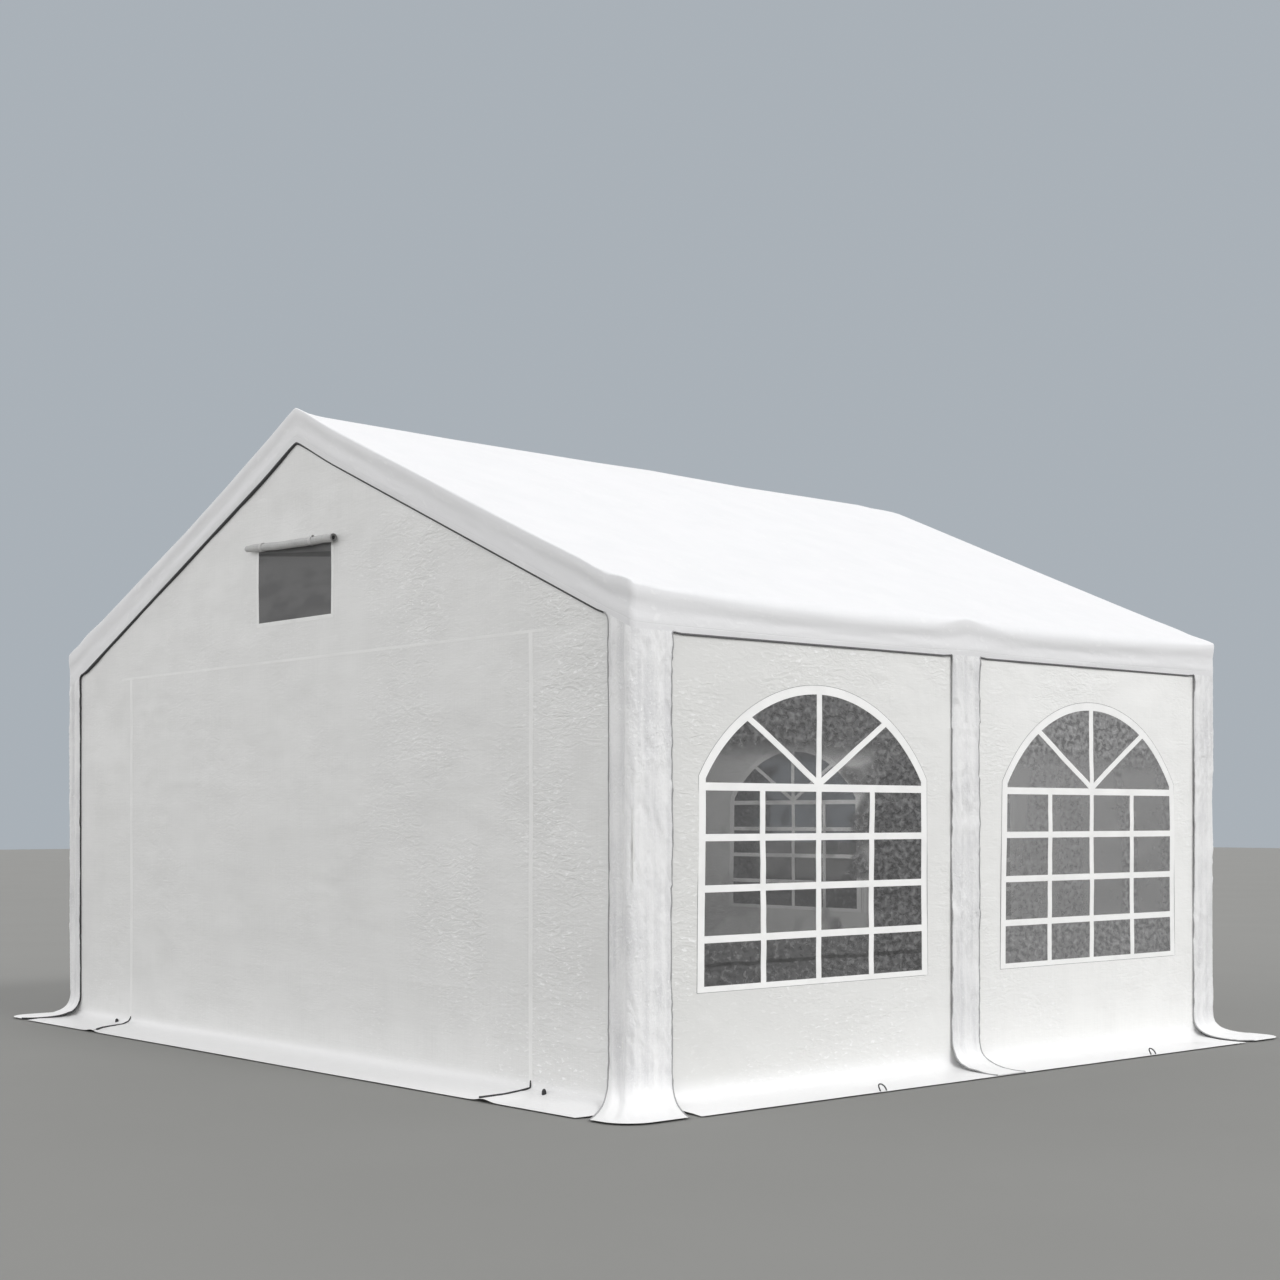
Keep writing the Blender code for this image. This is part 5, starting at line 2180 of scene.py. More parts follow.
@dataclass(frozen=True)
class Window:
    """Arched film window with its border and bars, in the plane of its wall.

    Attributes:
        node: Name of its solid.
        hanging: The wall's place on the tent.
        arch: Its outline inside the border.
        finish: What its film is made of.
        rows: Heights of its level bars over its foot, for a long wall's window.
        row_half: Half width of those bars.
        spring_half: Half width of the bar on the spring line.
        column: Distance between its upright bars.
        column_half: Half width of those bars.
        spoke: Where the slanting bars end, across and up from the middle of the spring line.
        spoke_rise: How far above the spring line's middle they start.
        spoke_half: Half width of the slanting bars.
        thickness: Thickness of the border and bars.
    """

    node: str
    hanging: Hanging
    arch: Arch
    finish: Finish
    rows: tuple[float, ...] = (0.188, 0.392, 0.598)
    row_half: float = 0.0145
    spring_half: float = 0.016
    column: float = 0.3315
    column_half: float = 0.0155
    spoke: tuple[float, float] = (0.43, 0.293)
    spoke_rise: float = 0.016
    spoke_half: float = 0.0137
    thickness: float = 0.003
    film_folds: Folds = (
        Fold(FoldKind.SWELL, 0.0026, 0.16, 0.14, 301),
        Fold(FoldKind.CRUMPLE, 0.0008, 0.07, 0.06, 302, 0.2, 0.30),
    )

    # How far the film's solid reaches past the outline, and the radius and distance of the dark line that paints the
    # shadow round the border
    SOLID_LAP: ClassVar[float] = 0.030
    WELD_RADIUS: ClassVar[float] = 0.0013
    WELD_GAP: ClassVar[float] = 0.0012

    @staticmethod
    def arch_of(node: str, side: Side, skirt: SkirtCurve) -> Arch:
        """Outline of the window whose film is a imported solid.

        Args:
            node: The solid's name.
            side: The side that the window is on.
            skirt: The wall's path at its foot.

        Returns:
            The outline inside the border.
        """
        low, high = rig.box(node)
        axis = 0 if side in (Side.FRONT, Side.BACK) else 1
        sign = 1.0 if side in (Side.FRONT, Side.RIGHT) else -1.0
        half = (high[axis] - low[axis]) / 2 - Window.SOLID_LAP
        centre = sign * (high[axis] + low[axis]) / 2
        return Arch(centre, skirt.v_at(low.z + Window.SOLID_LAP), half / Arch.FOOT_HALF)

    def film_off(self, flat: Array) -> Array:
        """How far the film and bars leave the wall's plane at flat points."""
        u, v = flat[:, 0], flat[:, 1]
        return blend_step(0.0, 0.06, self.arch.depth(u, v)) * relief_of(self.film_folds, u, v)

    def bar_outlines(self) -> tuple[Outline, ...]:
        """Outlines of the bars.

        Returns:
            One outline for each bar.
        """
        arch, scale, over = self.arch, self.arch.scale, 0.006
        left = arch.centre - Arch.FOOT_HALF * scale - over
        right = arch.centre + Arch.FOOT_HALF * scale + over
        spring = arch.level(Arch.SPRING)
        bars = [bar_outline((left, spring), (right, spring), self.spring_half * scale)]
        for row in self.rows:
            bars.append(bar_outline((left, arch.level(row)), (right, arch.level(row)), self.row_half * scale))
        for sign in (-1.0, 1.0):
            across = arch.centre + sign * self.column * scale
            bars.append(bar_outline((across, arch.foot - over), (across, spring), self.column_half * scale))
            start = (arch.centre, arch.level(Arch.SPRING + self.spoke_rise))
            tip = (arch.centre + sign * self.spoke[0] * scale, arch.level(Arch.SPRING + self.spoke[1]))
            bars.append(bar_outline(start, tip, self.spoke_half * scale))
        crown = (arch.centre, arch.level(Arch.HEIGHT) + over)
        bars.append(bar_outline((arch.centre, arch.foot - over), crown, self.column_half * scale))
        return tuple(bars)

    def build(self, wall_name: str) -> list[Piece]:
        """Make the film, then the border and bars as one welded trim, and a dark line round it that paints the shadow
        at the border's edge.

        Args:
            wall_name: Name of the wall's piece.

        Returns:
            The trim and the painted shadow line.
        """
        flat, faces = Cut((self.arch.outline(FILM_LAP),)).net()
        local = flat - (self.arch.centre, self.arch.foot)
        points = self.hanging.points(flat, self.film_off(flat))
        film = new_piece(self.node + "_sheet", points, faces, self.finish, "window_film", local, FILM,
                         self.node)
        declare_sheet(keep_flat(film, flat, faces), "stretched", [wall_name])
        flat, faces = WindowTrimCut(self.arch, self.bar_outlines()).net()
        name = self.node.replace("window_film", "window_bars")
        points = self.hanging.points(flat, self.film_off(flat))
        trim = new_piece(name, points, faces, WINDOW_TRIM, "wall_cloth", flat, self.thickness)
        # Painted shadow: a thin dark cord round the border's outer edge.
        line = np.array(self.arch.outline(WINDOW_BORDER + self.WELD_GAP, 144))
        corners = np.linspace(line[0], line[1], 60)[1:-1]
        line = np.concatenate([line[:1], corners, line[1:], line[:1]])
        path = self.hanging.points(line, CLOTH / 2)
        weld = new_tube(name.replace("bars", "weld"), path, self.WELD_RADIUS, PALE_SHADE_CORD, "wall_cloth", 6)
        return [trim, weld]


# Gable walls


@dataclass
class Gable:
    """Gable wall with its vent and rolled flap, and its door in front or windows at the back.

    Attributes:
        lines: The tent's lines.
        side: Front or back.
        seam_half: Half width of the tape over the door's top edge.
        side_half: Half width of the tapes over its upright edges.
        seam_over: How far the top tape runs past the side tapes.
        seam_tilt: How much higher the top tape's right end is.
        seam_foot: Height at which the tapes end.
        slit_half: Half width at the hem of the gap beside the door's skirt.
        slit_top: Height at which that gap closes.
        hook_rise: How far above that height the gap's edges reach the door's edges.
        slit_feet: How far each gap's foot lies from the door's edge.
        slit_tops: How far each gap's top lies from the door's edge.
        peg_gaps: Distances of the pegs from the door's edges.
        peg_outs: Distances of the pegs from the wall's plane.
        band: Width of the band round the vent.
        tape: Width of the near-black band painted on the wall behind the valance's hem, as the shadow there.
        roll_radius: Radius of the rolled flap.
        tie_places: Shares of the flap's length at which its ties are.
        pitch: Distance between the net's points.
    """

    lines: TentLines
    side: Side
    seam_half: float = 0.0062
    side_half: float = 0.012
    seam_over: float = 0.105
    seam_tilt: float = 0.006
    seam_foot: float = 0.06
    slit_half: float = 0.004
    slit_top: float = 0.048
    hook_rise: float = 0.006
    slit_feet: tuple[float, float] = (0.10, -0.018)
    slit_tops: tuple[float, float] = (-0.012, 0.015)
    peg_gaps: tuple[float, float] = (0.108, 0.128)
    peg_outs: tuple[float, float] = (0.030, 0.032)
    band: float = 0.020
    tape: float = 0.028
    roll_radius: float = 0.0215
    tie_places: tuple[float, float] = (0.188, 0.76)
    pitch: tuple[float, float] = (0.024, 0.024)

    def __post_init__(self) -> None:
        """Read the door or the windows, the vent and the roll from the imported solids."""
        end = self.side.label
        self.skirt = skirt = wall_skirt(self.lines.reach)
        front = self.side is Side.FRONT
        sign = 1.0 if front else -1.0
        lap = 0.020
        low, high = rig.box(f"vent_mesh_{end}")
        left, right = sorted((sign * low.x, sign * high.x))
        self.vent: FlatBox = (left + lap, skirt.v_at(low.z + lap), right - lap, skirt.v_at(high.z - 0.002))
        u0, v0, u1, v1 = self.vent
        trims = [(u0 - self.band, v0 - self.band, u1 + self.band, v1 + self.band)]
        lifted: list[tuple[float, float, float]] = []
        self.door: tuple[float, float] | None = None
        self.arches: dict[str, Arch] = {}
        if front:
            low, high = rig.box(f"door_{end}")
            self.door, self.door_top = (low.x, high.x), skirt.v_at(high.z)
            half, foot = self.side_half, skirt.v_at(self.seam_foot)
            trims.extend((edge - half, foot, edge + half, self.door_top) for edge in self.door)
            trims.append((low.x - self.seam_over, self.door_top - half,
                          high.x + self.seam_over, self.door_top + half))
            lifted.append((low.x + self.slit_feet[0] - 0.03, 0.05, 0.010))
            lifted.append((high.x + self.slit_feet[1] + 0.05, 0.05, 0.010))
        else:
            for name in ("left", "right"):
                node = f"window_film_gable_{name}"
                self.arches[node] = Window.arch_of(node, self.side, skirt)
        seed = 0 if front else 60
        broad = (
            Fold(FoldKind.SWELL, 0.0060, 1.10, 0.80, 101 + seed),
            Fold(FoldKind.SWELL, 0.0030, 0.45, 0.30, 105 + seed, 0.2),
        )
        fine = (
            Fold(FoldKind.SWELL, 0.0018, 0.30, 0.10, 102 + seed, 0.3),
            Fold(FoldKind.CREASE, 0.0016, 0.50, 0.12, 103 + seed, -0.4, 0.9),
            Fold(FoldKind.CRUMPLE, 0.0016, 0.13, 0.085, 104 + seed, 0.2, 0.55),
        )
        self.hanging = Hanging(self.side, self.lines.wall_y, skirt, broad, fine, tuple(trims),
                               tuple(self.arches.values()), tuple(lifted), (2.33,))
        self.trims: list[Piece] = []

    def pegs(self) -> dict[str, tuple[float, float]]:
        """Places of the pegs beside the door, along the wall and out from it.

        Returns:
            Each peg's place along the wall and out from it, by its name.
        """
        if self.door is None:
            return {}
        return {"left": (self.door[0] - self.peg_gaps[0], self.peg_outs[0]),
                "right": (self.door[1] + self.peg_gaps[1], self.peg_outs[1])}

    def level(self, x: Array, drop: float) -> list[tuple[float, float]]:
        """Flat points of a line that runs below the roof by a distance, over places along the wall.

        Args:
            x: Places along the wall.
            drop: Distance below the roof.

        Returns:
            The line's points.
        """
        y = np.full_like(x, -self.lines.cover_y if self.side is Side.FRONT else self.lines.cover_y)
        heights = self.lines.roof(x, y) - drop
        return [(float(u), self.skirt.v_at(float(z))) for u, z in zip(x, heights)]

    def slit_points(self, which: int, gap: float) -> list[tuple[float, float]]:
        """Flat points up one edge of the gap beside the door's skirt, off its middle by a gap at the hem.

        Args:
            which: 0 for the left gap, 1 for the right.
            gap: How far off the gap's middle the edge lies at the hem.

        Returns:
            The edge's points, from the hem up.
        """
        edge = self.door[which]
        foot, top = edge + self.slit_feet[which], edge + self.slit_tops[which]
        v_top = self.skirt.v_on_bend(self.slit_top)
        points = []
        for share in (0.0, 0.25, 0.5, 0.75, 0.93):
            ragged = gap * (1.0 - share) ** 0.35 + 0.004 * math.sin(17.0 * share + 3.0 * which)
            points.append((foot + (top - foot) * share + ragged, v_top * share))
        return points

    def wall_outline(self) -> Outline:
        """Outline of the wall.

        Returns:
            The outline's corners.
        """
        half = self.lines.wall_x - CLOTH
        knots = np.array([half, 0.33, 0.24, 0.16, 0.08, 0.0, -0.08, -0.16, -0.24, -0.33, -half])
        top = self.level(knots, WALL_TOP_CLEAR + 0.006)
        outline = [(-half + 0.02, 0.0)]
        if self.door is not None:
            left, right = self.door
            hook = self.skirt.v_on_bend(self.slit_top)
            hook += self.hook_rise
            outline.extend(self.slit_points(0, -self.slit_half))
            outline.extend([(left, hook), (left, self.door_top), (right, self.door_top), (right, hook)])
            outline.extend(reversed(self.slit_points(1, self.slit_half)))
        outline.extend([(half - 0.02, 0.0), (half, 0.09), *top, (-half, 0.09)])
        return outline

    def make_wall(self) -> Piece:
        """Make the wall round its openings.

        Returns:
            The wall's piece.
        """
        holes = [box_outline(*self.vent)]
        holes.extend(arch.outline(HOLE_LAP) for arch in self.arches.values())
        name = f"gable_wall_{self.side.label}"
        cut = Cut((self.wall_outline(),), tuple(holes), self.pitch, BEND_ROWS)
        return hang_cloth(name + "_cloth", cut, self.hanging, GABLE_CLOTH, "wall_cloth", node=name)

    def make_door(self, wall_name: str) -> None:
        """Make the closed door, with its part of the skirt, and the tapes over its edges.

        Args:
            wall_name: Name of the wall's piece.
        """
        left, right = self.door
        seam = 0.0004
        hook = self.skirt.v_on_bend(self.slit_top) + self.hook_rise
        outline = [*self.slit_points(0, self.slit_half), (left + seam, hook),
                   (left + seam, self.door_top - seam), (right - seam, self.door_top - seam),
                   (right - seam, hook), *reversed(self.slit_points(1, -self.slit_half))]
        # Painted shadow: a near-black cord down each slit beside the door's skirt.
        for which, label in enumerate(("left", "right")):
            line = [*self.slit_points(which, 0.0), (self.door[which], hook), (self.door[which], hook + 0.009)]
            line = np.array(line)
            line[0, 1] = 0.02
            path = self.hanging.points(line, np.linspace(0.003, 0.001, len(line)))
            radii = np.linspace(0.0062, 0.0026, len(line))
            self.trims.append(new_tube(f"slit_edge_{self.side.label}_{label}", path, radii, SHADE_AND_PEG_BLACK,
                                       "wall_cloth"))
        name = f"door_{self.side.label}"
        cut = Cut((outline[::-1],), pitch=self.pitch, fine_rows=BEND_ROWS)
        piece = hang_cloth(name + "_cloth", cut, self.hanging, DOOR_CLOTH, "door_cloth", node=name)
        declare_sheet(piece, "hung", [wall_name])
        half, top, foot = self.seam_half, self.door_top, self.skirt.v_at(self.seam_foot)
        shapes = (
            bar_outline((left, foot), (left, top), self.side_half),
            bar_outline((right, foot), (right, top), self.side_half),
            bar_outline((left - self.seam_over, top - self.seam_tilt),
                        (right + self.seam_over, top + self.seam_tilt), half),
        )
        self.trims.append(hang_cloth(f"door_seams_{self.side.label}", Cut(shapes, pitch=(0.010, 0.012)),
                                     self.hanging, SEAM_TAPE, "door_cloth", 0.0004, 0.0007))

    def make_vent(self, wall_name: str) -> None:
        """Make the vent's mesh with its doubled hem under the roll, darkened further as painted shadow of the roll,
        and the band round it.

        Args:
            wall_name: Name of the wall's piece.
        """
        u0, v0, u1, v1 = self.vent
        lap, band, end = 0.010, self.band, self.side.label
        behind = -(CLOTH + FILM) / 2 - 0.0002
        mesh_cut = Cut((box_outline(u0 - lap, v0 - lap, u1 + lap, v1 + lap),), pitch=(0.014, 0.014))
        mesh = hang_cloth(f"vent_mesh_{end}_cloth", mesh_cut, self.hanging, VENT_MESH, "vent_mesh", FILM,
                          behind, f"vent_mesh_{end}")
        # Partly painted shadow: the doubled hem under the roll is a real second layer, darkened further as the roll's
        # shadow.
        fold_and_shadow_cut = Cut(([(u0, v1 - 0.020), (u1, v1 - 0.085), (u1, v1 - 0.059), (u0, v1 - 0.008)],),
                       pitch=(0.014, 0.014))
        fold = hang_cloth(f"vent_fold_{end}", fold_and_shadow_cut, self.hanging, SHADED_DOUBLED_MESH, "vent_mesh", FILM,
                          behind + 0.0009)
        declare_sheet(mesh, "stretched", [wall_name], [fold])
        outer = box_outline(u0 - band, v0 - band, u1 + band, v1 + band)
        ring = Cut((outer,), (box_outline(*self.vent),), (0.012, 0.012))
        self.trims.append(hang_cloth(f"vent_frame_{end}", ring, self.hanging, VENT_TRIM, "wall_cloth", TRIM,
                                     (CLOTH + TRIM) / 2))

    def make_tape(self) -> None:
        """Make the near-black band that paints the shadow on the wall behind the valance's hem."""
        half = self.lines.wall_x - 0.02
        knots = np.linspace(-half, half, 61)
        lower = self.level(knots, self.lines.drop + 0.002)
        upper = self.level(knots[::-1], self.lines.drop - self.tape)
        cut = Cut(([*lower, *upper],), pitch=(0.02, 0.014))
        self.trims.append(hang_cloth(f"hem_tape_{self.side.label}", cut, self.hanging, SHADE_AND_PEG_BLACK,
                                     "wall_cloth", 0.0005, 0.0009))

    def make_pegs(self) -> None:
        """Make the heads of the pegs that stand in the skirt beside the door."""
        for label, (u, out) in self.pegs().items():
            up = np.array([0.008, 0.012, 0.018, 0.026, 0.034, 0.040, 0.044])
            radii = np.array([0.006, 0.0085, 0.0095, 0.0098, 0.0092, 0.0072, 0.003])
            path = self.side.turned(np.full(7, u), np.full(7, self.lines.wall_y + out), up)
            self.trims.append(new_tube(f"peg_head_{self.side.label}_{label}", path, radii, SHADE_AND_PEG_BLACK,
                                       "steel_joint"))

    def make_flap(self, wall_name: str) -> None:
        """Make the rolled flap over the vent, with its two ties.

        Args:
            wall_name: Name of the wall's piece.
        """
        end, radius = self.side.label, self.roll_radius
        low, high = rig.box(f"vent_flap_{end}")
        sign = 1.0 if self.side is Side.FRONT else -1.0
        ends = sorted((sign * low.x, sign * high.x))
        start = np.array([ends[0], high.z - radius])
        stop = np.array([ends[1], low.z + radius])
        plane = self.lines.wall_y + SOLID_CLOTH / 2 + SOLID_SEAT + radius
        stations, turns, steps, lean = 60, 3.2, 90, 1.2
        share = np.linspace(0.0, 1.0, stations)
        angle = np.linspace(0.0, 2.0 * math.pi * turns, steps)
        spiral = 0.0100 + (radius - 0.0106) * (angle / angle[-1]) ** 0.9
        grid_share, grid_angle = np.meshgrid(share, angle, indexing="ij")
        loose = 1.0 + 0.05 * drift(grid_share * 9.0, grid_angle * 0.5, 55)
        pinch = 1.0 - 0.10 * sum(bump_at(grid_share, place, 0.03) for place in self.tie_places)
        taper = 1.0 - 0.22 * bump_at(grid_share, 0.0, 0.06)
        reach = spiral[None, :] * loose * pinch * taper
        dip = -0.003 * np.sin(math.pi * grid_share) - 0.002 * drift(grid_share * 4.0, grid_share, 56)
        along = start[0] + (stop[0] - start[0]) * grid_share
        level = start[1] + (stop[1] - start[1]) * grid_share + dip + reach * np.sin(grid_angle - lean)
        out = plane + reach * np.cos(grid_angle - lean) + 0.0004
        points = self.side.turned(along.ravel(), out.ravel(), level.ravel())
        lengths = np.concatenate([[0.0], np.cumsum(np.hypot(np.diff(spiral), spiral[1:] * np.diff(angle)))])
        flat = np.column_stack([along.ravel(), np.tile(lengths, stations) + 0.1])
        faces = []
        for row in range(stations - 1):
            for step in range(steps - 1):
                a, b = row * steps + step, (row + 1) * steps + step
                faces.append((a, a + 1, b + 1, b))
        # Its cloth is painted darker, as the shade on the roll.
        piece = new_piece(f"vent_flap_{end}_cloth", points, faces, SHADED_FLAP_CLOTH, "flap_cloth", flat, 0.0007,
                          f"vent_flap_{end}")
        ties = [self.make_tie(number, start + (stop - start) * place, plane)
                for number, place in enumerate(self.tie_places)]
        # Painted shade: a near-black rod in the roll's hollow core.
        ends = np.linspace(start + (stop - start) * 0.04, stop - (0.005, 0.0), 20)
        path = self.side.turned(ends[:, 0], np.full(20, plane), ends[:, 1])
        shaded_core = new_tube(f"vent_roll_core_{end}", path, 0.0092, SHADE_AND_PEG_BLACK, "flap_cloth")
        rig.sheet(piece, flat=(float(stop[0] - start[0]), float(lengths[-1])), held="folded",
                 rests_on=[wall_name], with_pieces=[*ties, shaded_core])

    def make_tie(self, number: int, middle: Array, plane: float) -> Piece:
        """Make one flat tie band round the rolled flap.

        Args:
            number: Which of the ties this is.
            middle: Its place on the roll's axis, along and up.
            plane: Distance of that axis from the middle of the tent.

        Returns:
            The tie.
        """
        half, around = 0.011, 48
        flats, points, faces = [], [], []
        for step in range(around):
            angle = 2.0 * math.pi * step / around
            knot = 0.0045 * float(bump_at(angle, 1.5, 0.35)) * number
            for row, edge in enumerate((-half, 0.0, half)):
                reach = self.roll_radius * 0.955 + 0.0008 * (row == 1) + knot
                points.append((middle[0] + edge, plane + reach * math.cos(angle) * 0.98,
                               middle[1] - 0.002 + reach * math.sin(angle)))
                flats.append((edge, reach * angle))
            following = (step + 1) % around
            for row in range(2):
                a, b = step * 3 + row, following * 3 + row
                faces.append((a, a + 1, b + 1, b))
        local = np.array(points)
        placed = self.side.turned(local[:, 0], local[:, 1], local[:, 2])
        return new_piece(f"vent_tie_{self.side.label}_{number}", placed, faces, TIE_WEB, "flap_cloth",
                         np.array(flats), 0.0012)

    def build(self) -> None:
        """Make the whole gable."""
        wall = self.make_wall()
        if self.door is not None:
            self.make_door(wall.name)
        for node, arch in self.arches.items():
            self.trims.extend(Window(node, self.hanging, arch, WINDOW_FILM).build(wall.name))
        self.make_vent(wall.name)
        self.make_tape()
        self.make_pegs()
        self.make_flap(wall.name)
        rests = [f"rafter_left_{self.side.label}", f"rafter_right_{self.side.label}"]
        declare_sheet(wall, "hung", rests, self.trims)


# Long walls


@dataclass
class LongWall:
    """Long wall with its two arched film windows and its peg loops.

    Attributes:
        lines: The tent's lines.
        side: Left or right.
        skirt_half: Half length of the skirt at the hem.
        loops: Places of the peg loops along the wall, seen from outside.
    """

    lines: TentLines
    side: Side
    skirt_half: float = 1.886
    loops: tuple[float, float] = (-0.84, 1.10)

    def __post_init__(self) -> None:
        """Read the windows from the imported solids."""
        self.skirt = wall_skirt(self.lines.reach)
        nodes = [f"window_film_{self.side.label}_{bay}" for bay in ("front", "back")]
        self.arches = {node: Window.arch_of(node, self.side, self.skirt) for node in nodes}
        seed = 0 if self.side is Side.RIGHT else 60
        broad = (
            Fold(FoldKind.SWELL, 0.0050, 0.90, 0.70, 201 + seed),
            Fold(FoldKind.SWELL, 0.0026, 0.40, 0.30, 205 + seed, -0.2),
        )
        fine = (
            Fold(FoldKind.SWELL, 0.0018, 0.24, 0.09, 202 + seed, -0.3),
            Fold(FoldKind.CREASE, 0.0018, 0.42, 0.10, 203 + seed, 0.3, 0.8),
            Fold(FoldKind.CRUMPLE, 0.0020, 0.12, 0.08, 204 + seed, 0.1, 0.45),
        )
        self.hanging = Hanging(self.side, self.lines.wall_x, self.skirt, broad, fine, (),
                               tuple(self.arches.values()), (), (0.09, 1.83))

    def make_wall(self) -> Piece:
        """Make the wall round its windows.

        Returns:
            The wall's piece.
        """
        half, end = self.lines.wall_y, self.skirt_half
        top = self.skirt.v_at(self.lines.eave - WALL_TOP_CLEAR + 0.004)
        side_edge = [(end + 0.004, 0.0), (end - 0.012, 0.06), (end - 0.020, 0.14), (end, 0.27),
                     (half, 0.33), (half, top)]
        outline = side_edge + [(-u, v) for u, v in reversed(side_edge)]
        holes = tuple(arch.outline(HOLE_LAP) for arch in self.arches.values())
        name = f"long_wall_{self.side.label}"
        cut = Cut((outline,), holes, (0.022, 0.022), BEND_ROWS)
        return hang_cloth(name + "_cloth", cut, self.hanging, SIDE_CLOTH, "wall_cloth", node=name)

    def make_loop(self, number: int, place: float) -> Piece:
        """Make one peg loop at the hem.

        Args:
            number: Which of the wall's loops this is.
            place: Its place along the wall.

        Returns:
            The loop.
        """
        half, rise = 0.019, 0.027
        turn = np.linspace(0.0, math.pi, 19)
        along = place + half * np.cos(turn) * (1.0 + 0.15 * np.sin(turn))
        up = 0.006 + rise * np.sin(turn) ** 0.8
        out = self.lines.wall_x + self.lines.reach - 0.012 - 0.020 * np.sin(turn)
        path = self.side.turned(along, out, up)
        return new_tube(f"peg_loop_{self.side.label}_{number}", path, 0.0030, DARK_CORD, "steel_joint", 10)

    def build(self) -> None:
        """Make the whole wall."""
        wall = self.make_wall()
        trims = []
        for node, arch in self.arches.items():
            finish = SMOOTH_FILM if node.endswith("back") else WINDOW_FILM
            trims.extend(Window(node, self.hanging, arch, finish).build(wall.name))
        trims.extend(self.make_loop(number, place) for number, place in enumerate(self.loops))
        rests = [f"eave_purlin_{self.side.label}_front", f"eave_purlin_{self.side.label}_back"]
        declare_sheet(wall, "hung", rests, trims)


# Tube frame and studio


class TubeFrame:
    """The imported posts, rafters, purlins and joints, which keep their own shapes."""

    @staticmethod
    def dress() -> None:
        """Give each tube and joint its steel."""
        for name, node in frame["nodes"].items():
            finish = JOINT_STEEL if "joint" in name else TUBE_STEEL
            if name.startswith(("post_", "rafter_", "ridge_", "eave_")):
                node.data.materials.clear()
                node.data.materials.append(finish.material())
                LOG.info("%s: %s", name, finish.name)


@dataclass(frozen=True)
class Lamp:
    """One soft lamp.

    Attributes:
        name: Its name.
        kind: SUN or POINT.
        energy: Its strength.
        size: The angle in degrees over which a sun is spread, or a point's radius in metres.
        place: The direction toward a sun, or a point's place.
    """

    name: str
    kind: str
    energy: float
    size: float
    place: tuple[float, float, float]

    def build(self) -> None:
        """Make the lamp."""
        data = bpy.data.lights.new(self.name, self.kind)
        data.energy = self.energy
        lamp = bpy.data.objects.new(self.name, data)
        if self.kind == "SUN":
            data.angle = math.radians(self.size)
            lamp.rotation_mode = "QUATERNION"
            lamp.rotation_quaternion = Vector(self.place).to_track_quat("Z", "Y")
        else:
            data.shadow_soft_size = self.size
            lamp.location = self.place
            lamp.visible_camera = False
        bpy.context.scene.collection.objects.link(lamp)


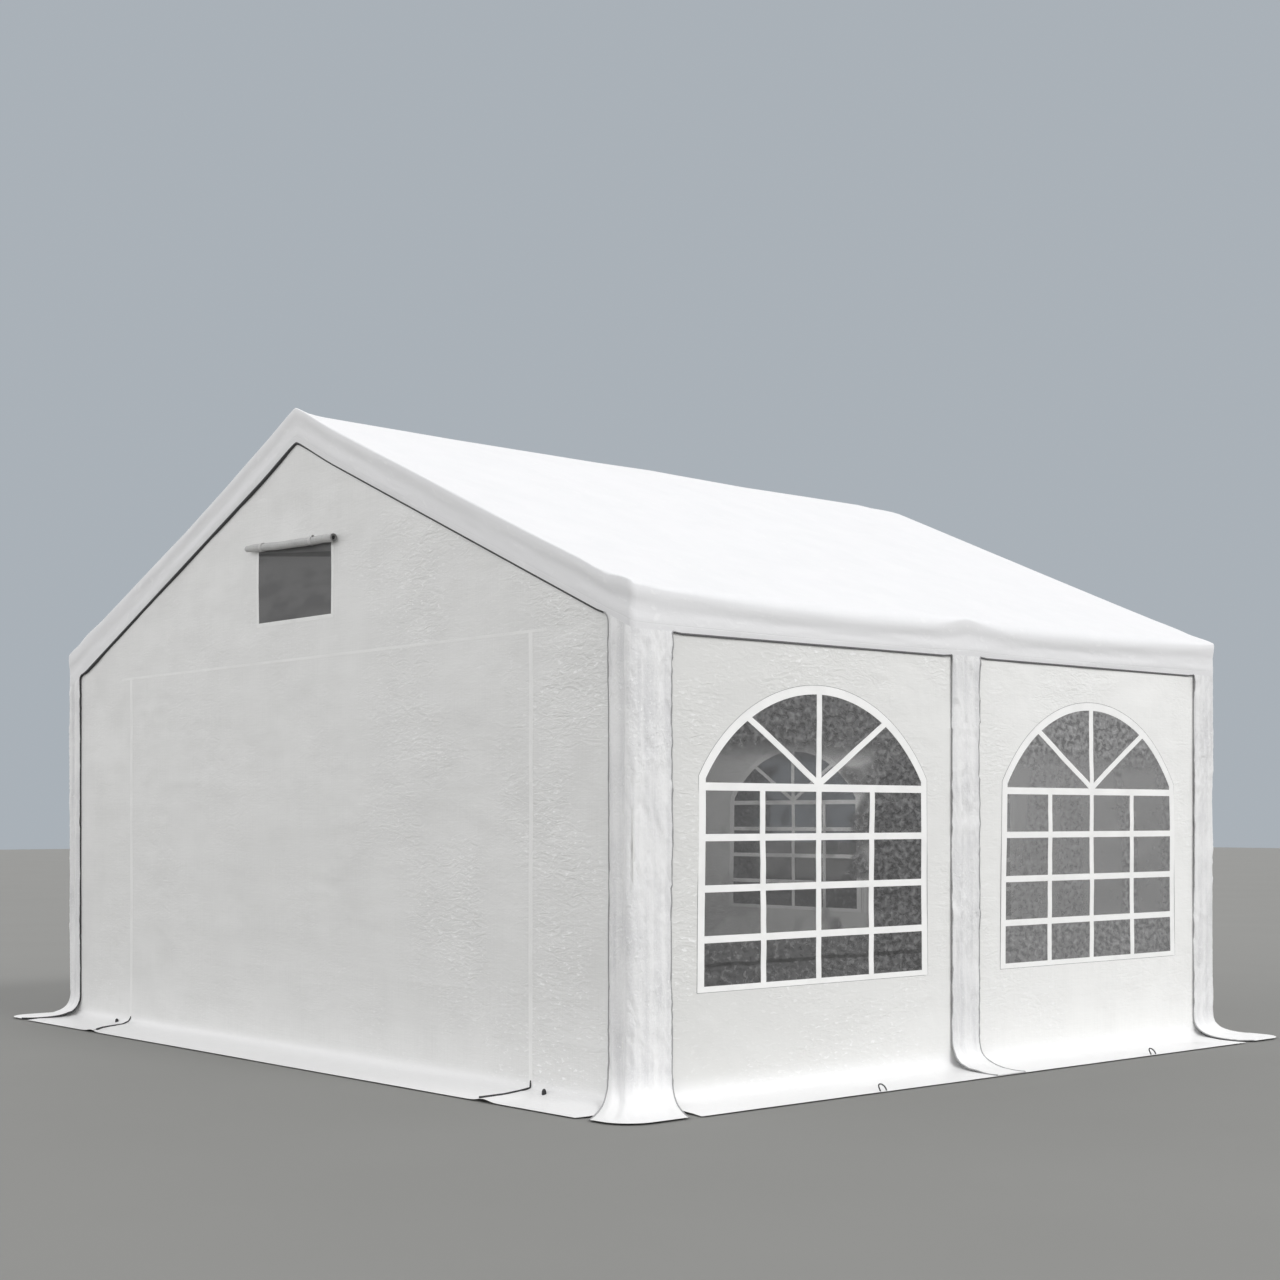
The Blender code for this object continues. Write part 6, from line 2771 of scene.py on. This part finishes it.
@dataclass(frozen=True)
class Studio:
    """Floor, light and camera.

    Attributes:
        eye: Where the camera stands.
        look: The level direction that it looks in.
        focal: Its focal length, in pixels of the picture's side.
        horizon: The horizon's distance below the middle of the picture, in the same pixels.
        side: The picture's side, in pixels.
        glow: Brightness of the surround's light at the horizon and overhead.
        lamps: Its lamps: a sun, a faint sun from the front, and two inside the tent.
    """

    eye: tuple[float, float, float] = (8.265, -7.074, 1.147)
    look: tuple[float, float, float] = (-0.7513, 0.6600, 0.0)
    focal: float = 1986.0
    horizon: float = 177.5
    side: float = 1280.0
    glow: tuple[float, float] = (1.22, 0.66)
    lamps: tuple[Lamp, ...] = (
        Lamp("soft_sun", "SUN", 1.06, 14.0, (0.78, 0.10, 0.62)),
        Lamp("front_sun", "SUN", 0.25, 40.0, (-0.3, -0.8, 0.5)),
        Lamp("inner_lamp_front", "POINT", 26.0, 0.6, (0.0, -1.0, 1.6)),
        Lamp("inner_lamp_back", "POINT", 26.0, 0.6, (0.0, 1.0, 1.6)),
    )

    def set_camera(self) -> None:
        """Make the camera."""
        data = bpy.data.cameras.new("camera")
        data.sensor_width = 36.0
        data.lens = data.sensor_width * self.focal / self.side
        data.shift_y = self.horizon / self.side
        data.clip_end = 200.0
        camera = bpy.data.objects.new("camera", data)
        camera.location = self.eye
        camera.rotation_mode = "QUATERNION"
        camera.rotation_quaternion = Vector(self.look).to_track_quat("-Z", "Y")
        bpy.context.scene.collection.objects.link(camera)
        bpy.context.scene.camera = camera

    def set_floor(self) -> None:
        """Make the floor."""
        bm = bmesh.new()
        bmesh.ops.create_grid(bm, x_segments=8, y_segments=8, size=60.0,
                              matrix=Matrix.Translation((0.0, 0.0, -0.0006)))
        mesh = bpy.data.meshes.new("floor")
        bm.to_mesh(mesh)
        bm.free()
        mesh.materials.append(PALE_FLOOR.material())
        floor = bpy.data.objects.new("floor", mesh)
        bpy.context.scene.collection.objects.link(floor)
        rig.stage(floor)

    def set_surround(self) -> None:
        """Make a soft surround that is brightest at the horizon and looks an even grey."""
        world = bpy.data.worlds.new("surround")
        world.use_nodes = True
        tree = NodeTree(world.node_tree)
        way = tree.add("ShaderNodeTexCoord", {}).outputs["Generated"]
        values = {"Value": tree.axes(way)[2], "To Min": self.glow[0], "To Max": self.glow[1]}
        light = tree.nodes["Background"]
        tree.feed(light.inputs["Color"], (0.97, 0.97, 0.975, 1.0))
        tree.feed(light.inputs["Strength"], tree.add("ShaderNodeMapRange", values).outputs["Result"])
        seen = tree.add("ShaderNodeBackground", {"Color": (0.40, 0.44, 0.48, 1.0)})
        ray = tree.add("ShaderNodeLightPath", {}).outputs["Is Camera Ray"]
        mixed = tree.add("ShaderNodeMixShader", {0: ray, 1: light.outputs[0], 2: seen.outputs[0]})
        tree.feed(tree.nodes["World Output"].inputs["Surface"], mixed.outputs[0])
        bpy.context.scene.world = world
        bpy.context.scene.view_settings.view_transform = "Standard"

    def build(self) -> None:
        """Set up the whole studio."""
        self.set_camera()
        self.set_floor()
        self.set_surround()
        for lamp in self.lamps:
            lamp.build()


def main() -> None:
    """Build the studio and dress the tent, part by part."""
    logging.basicConfig(level=logging.INFO, format="%(message)s")
    Studio().build()
    lines = TentLines.from_frame()
    TubeFrame.dress()
    cover = RoofCover(lines)
    roof = cover.build()
    cover.declare(roof, CoverEdges(lines).build())
    for side in (Side.FRONT, Side.BACK):
        Gable(lines, side).build()
    for side in (Side.RIGHT, Side.LEFT):
        LongWall(lines, side).build()
    boxes = {"cad": CAD_BOX, "visual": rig.bounds()}
    with open("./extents.json", "w") as size_file:
        json.dump({name: [list(corner) for corner in box] for name, box in boxes.items()}, size_file)


if __name__ == "__main__":
    main()
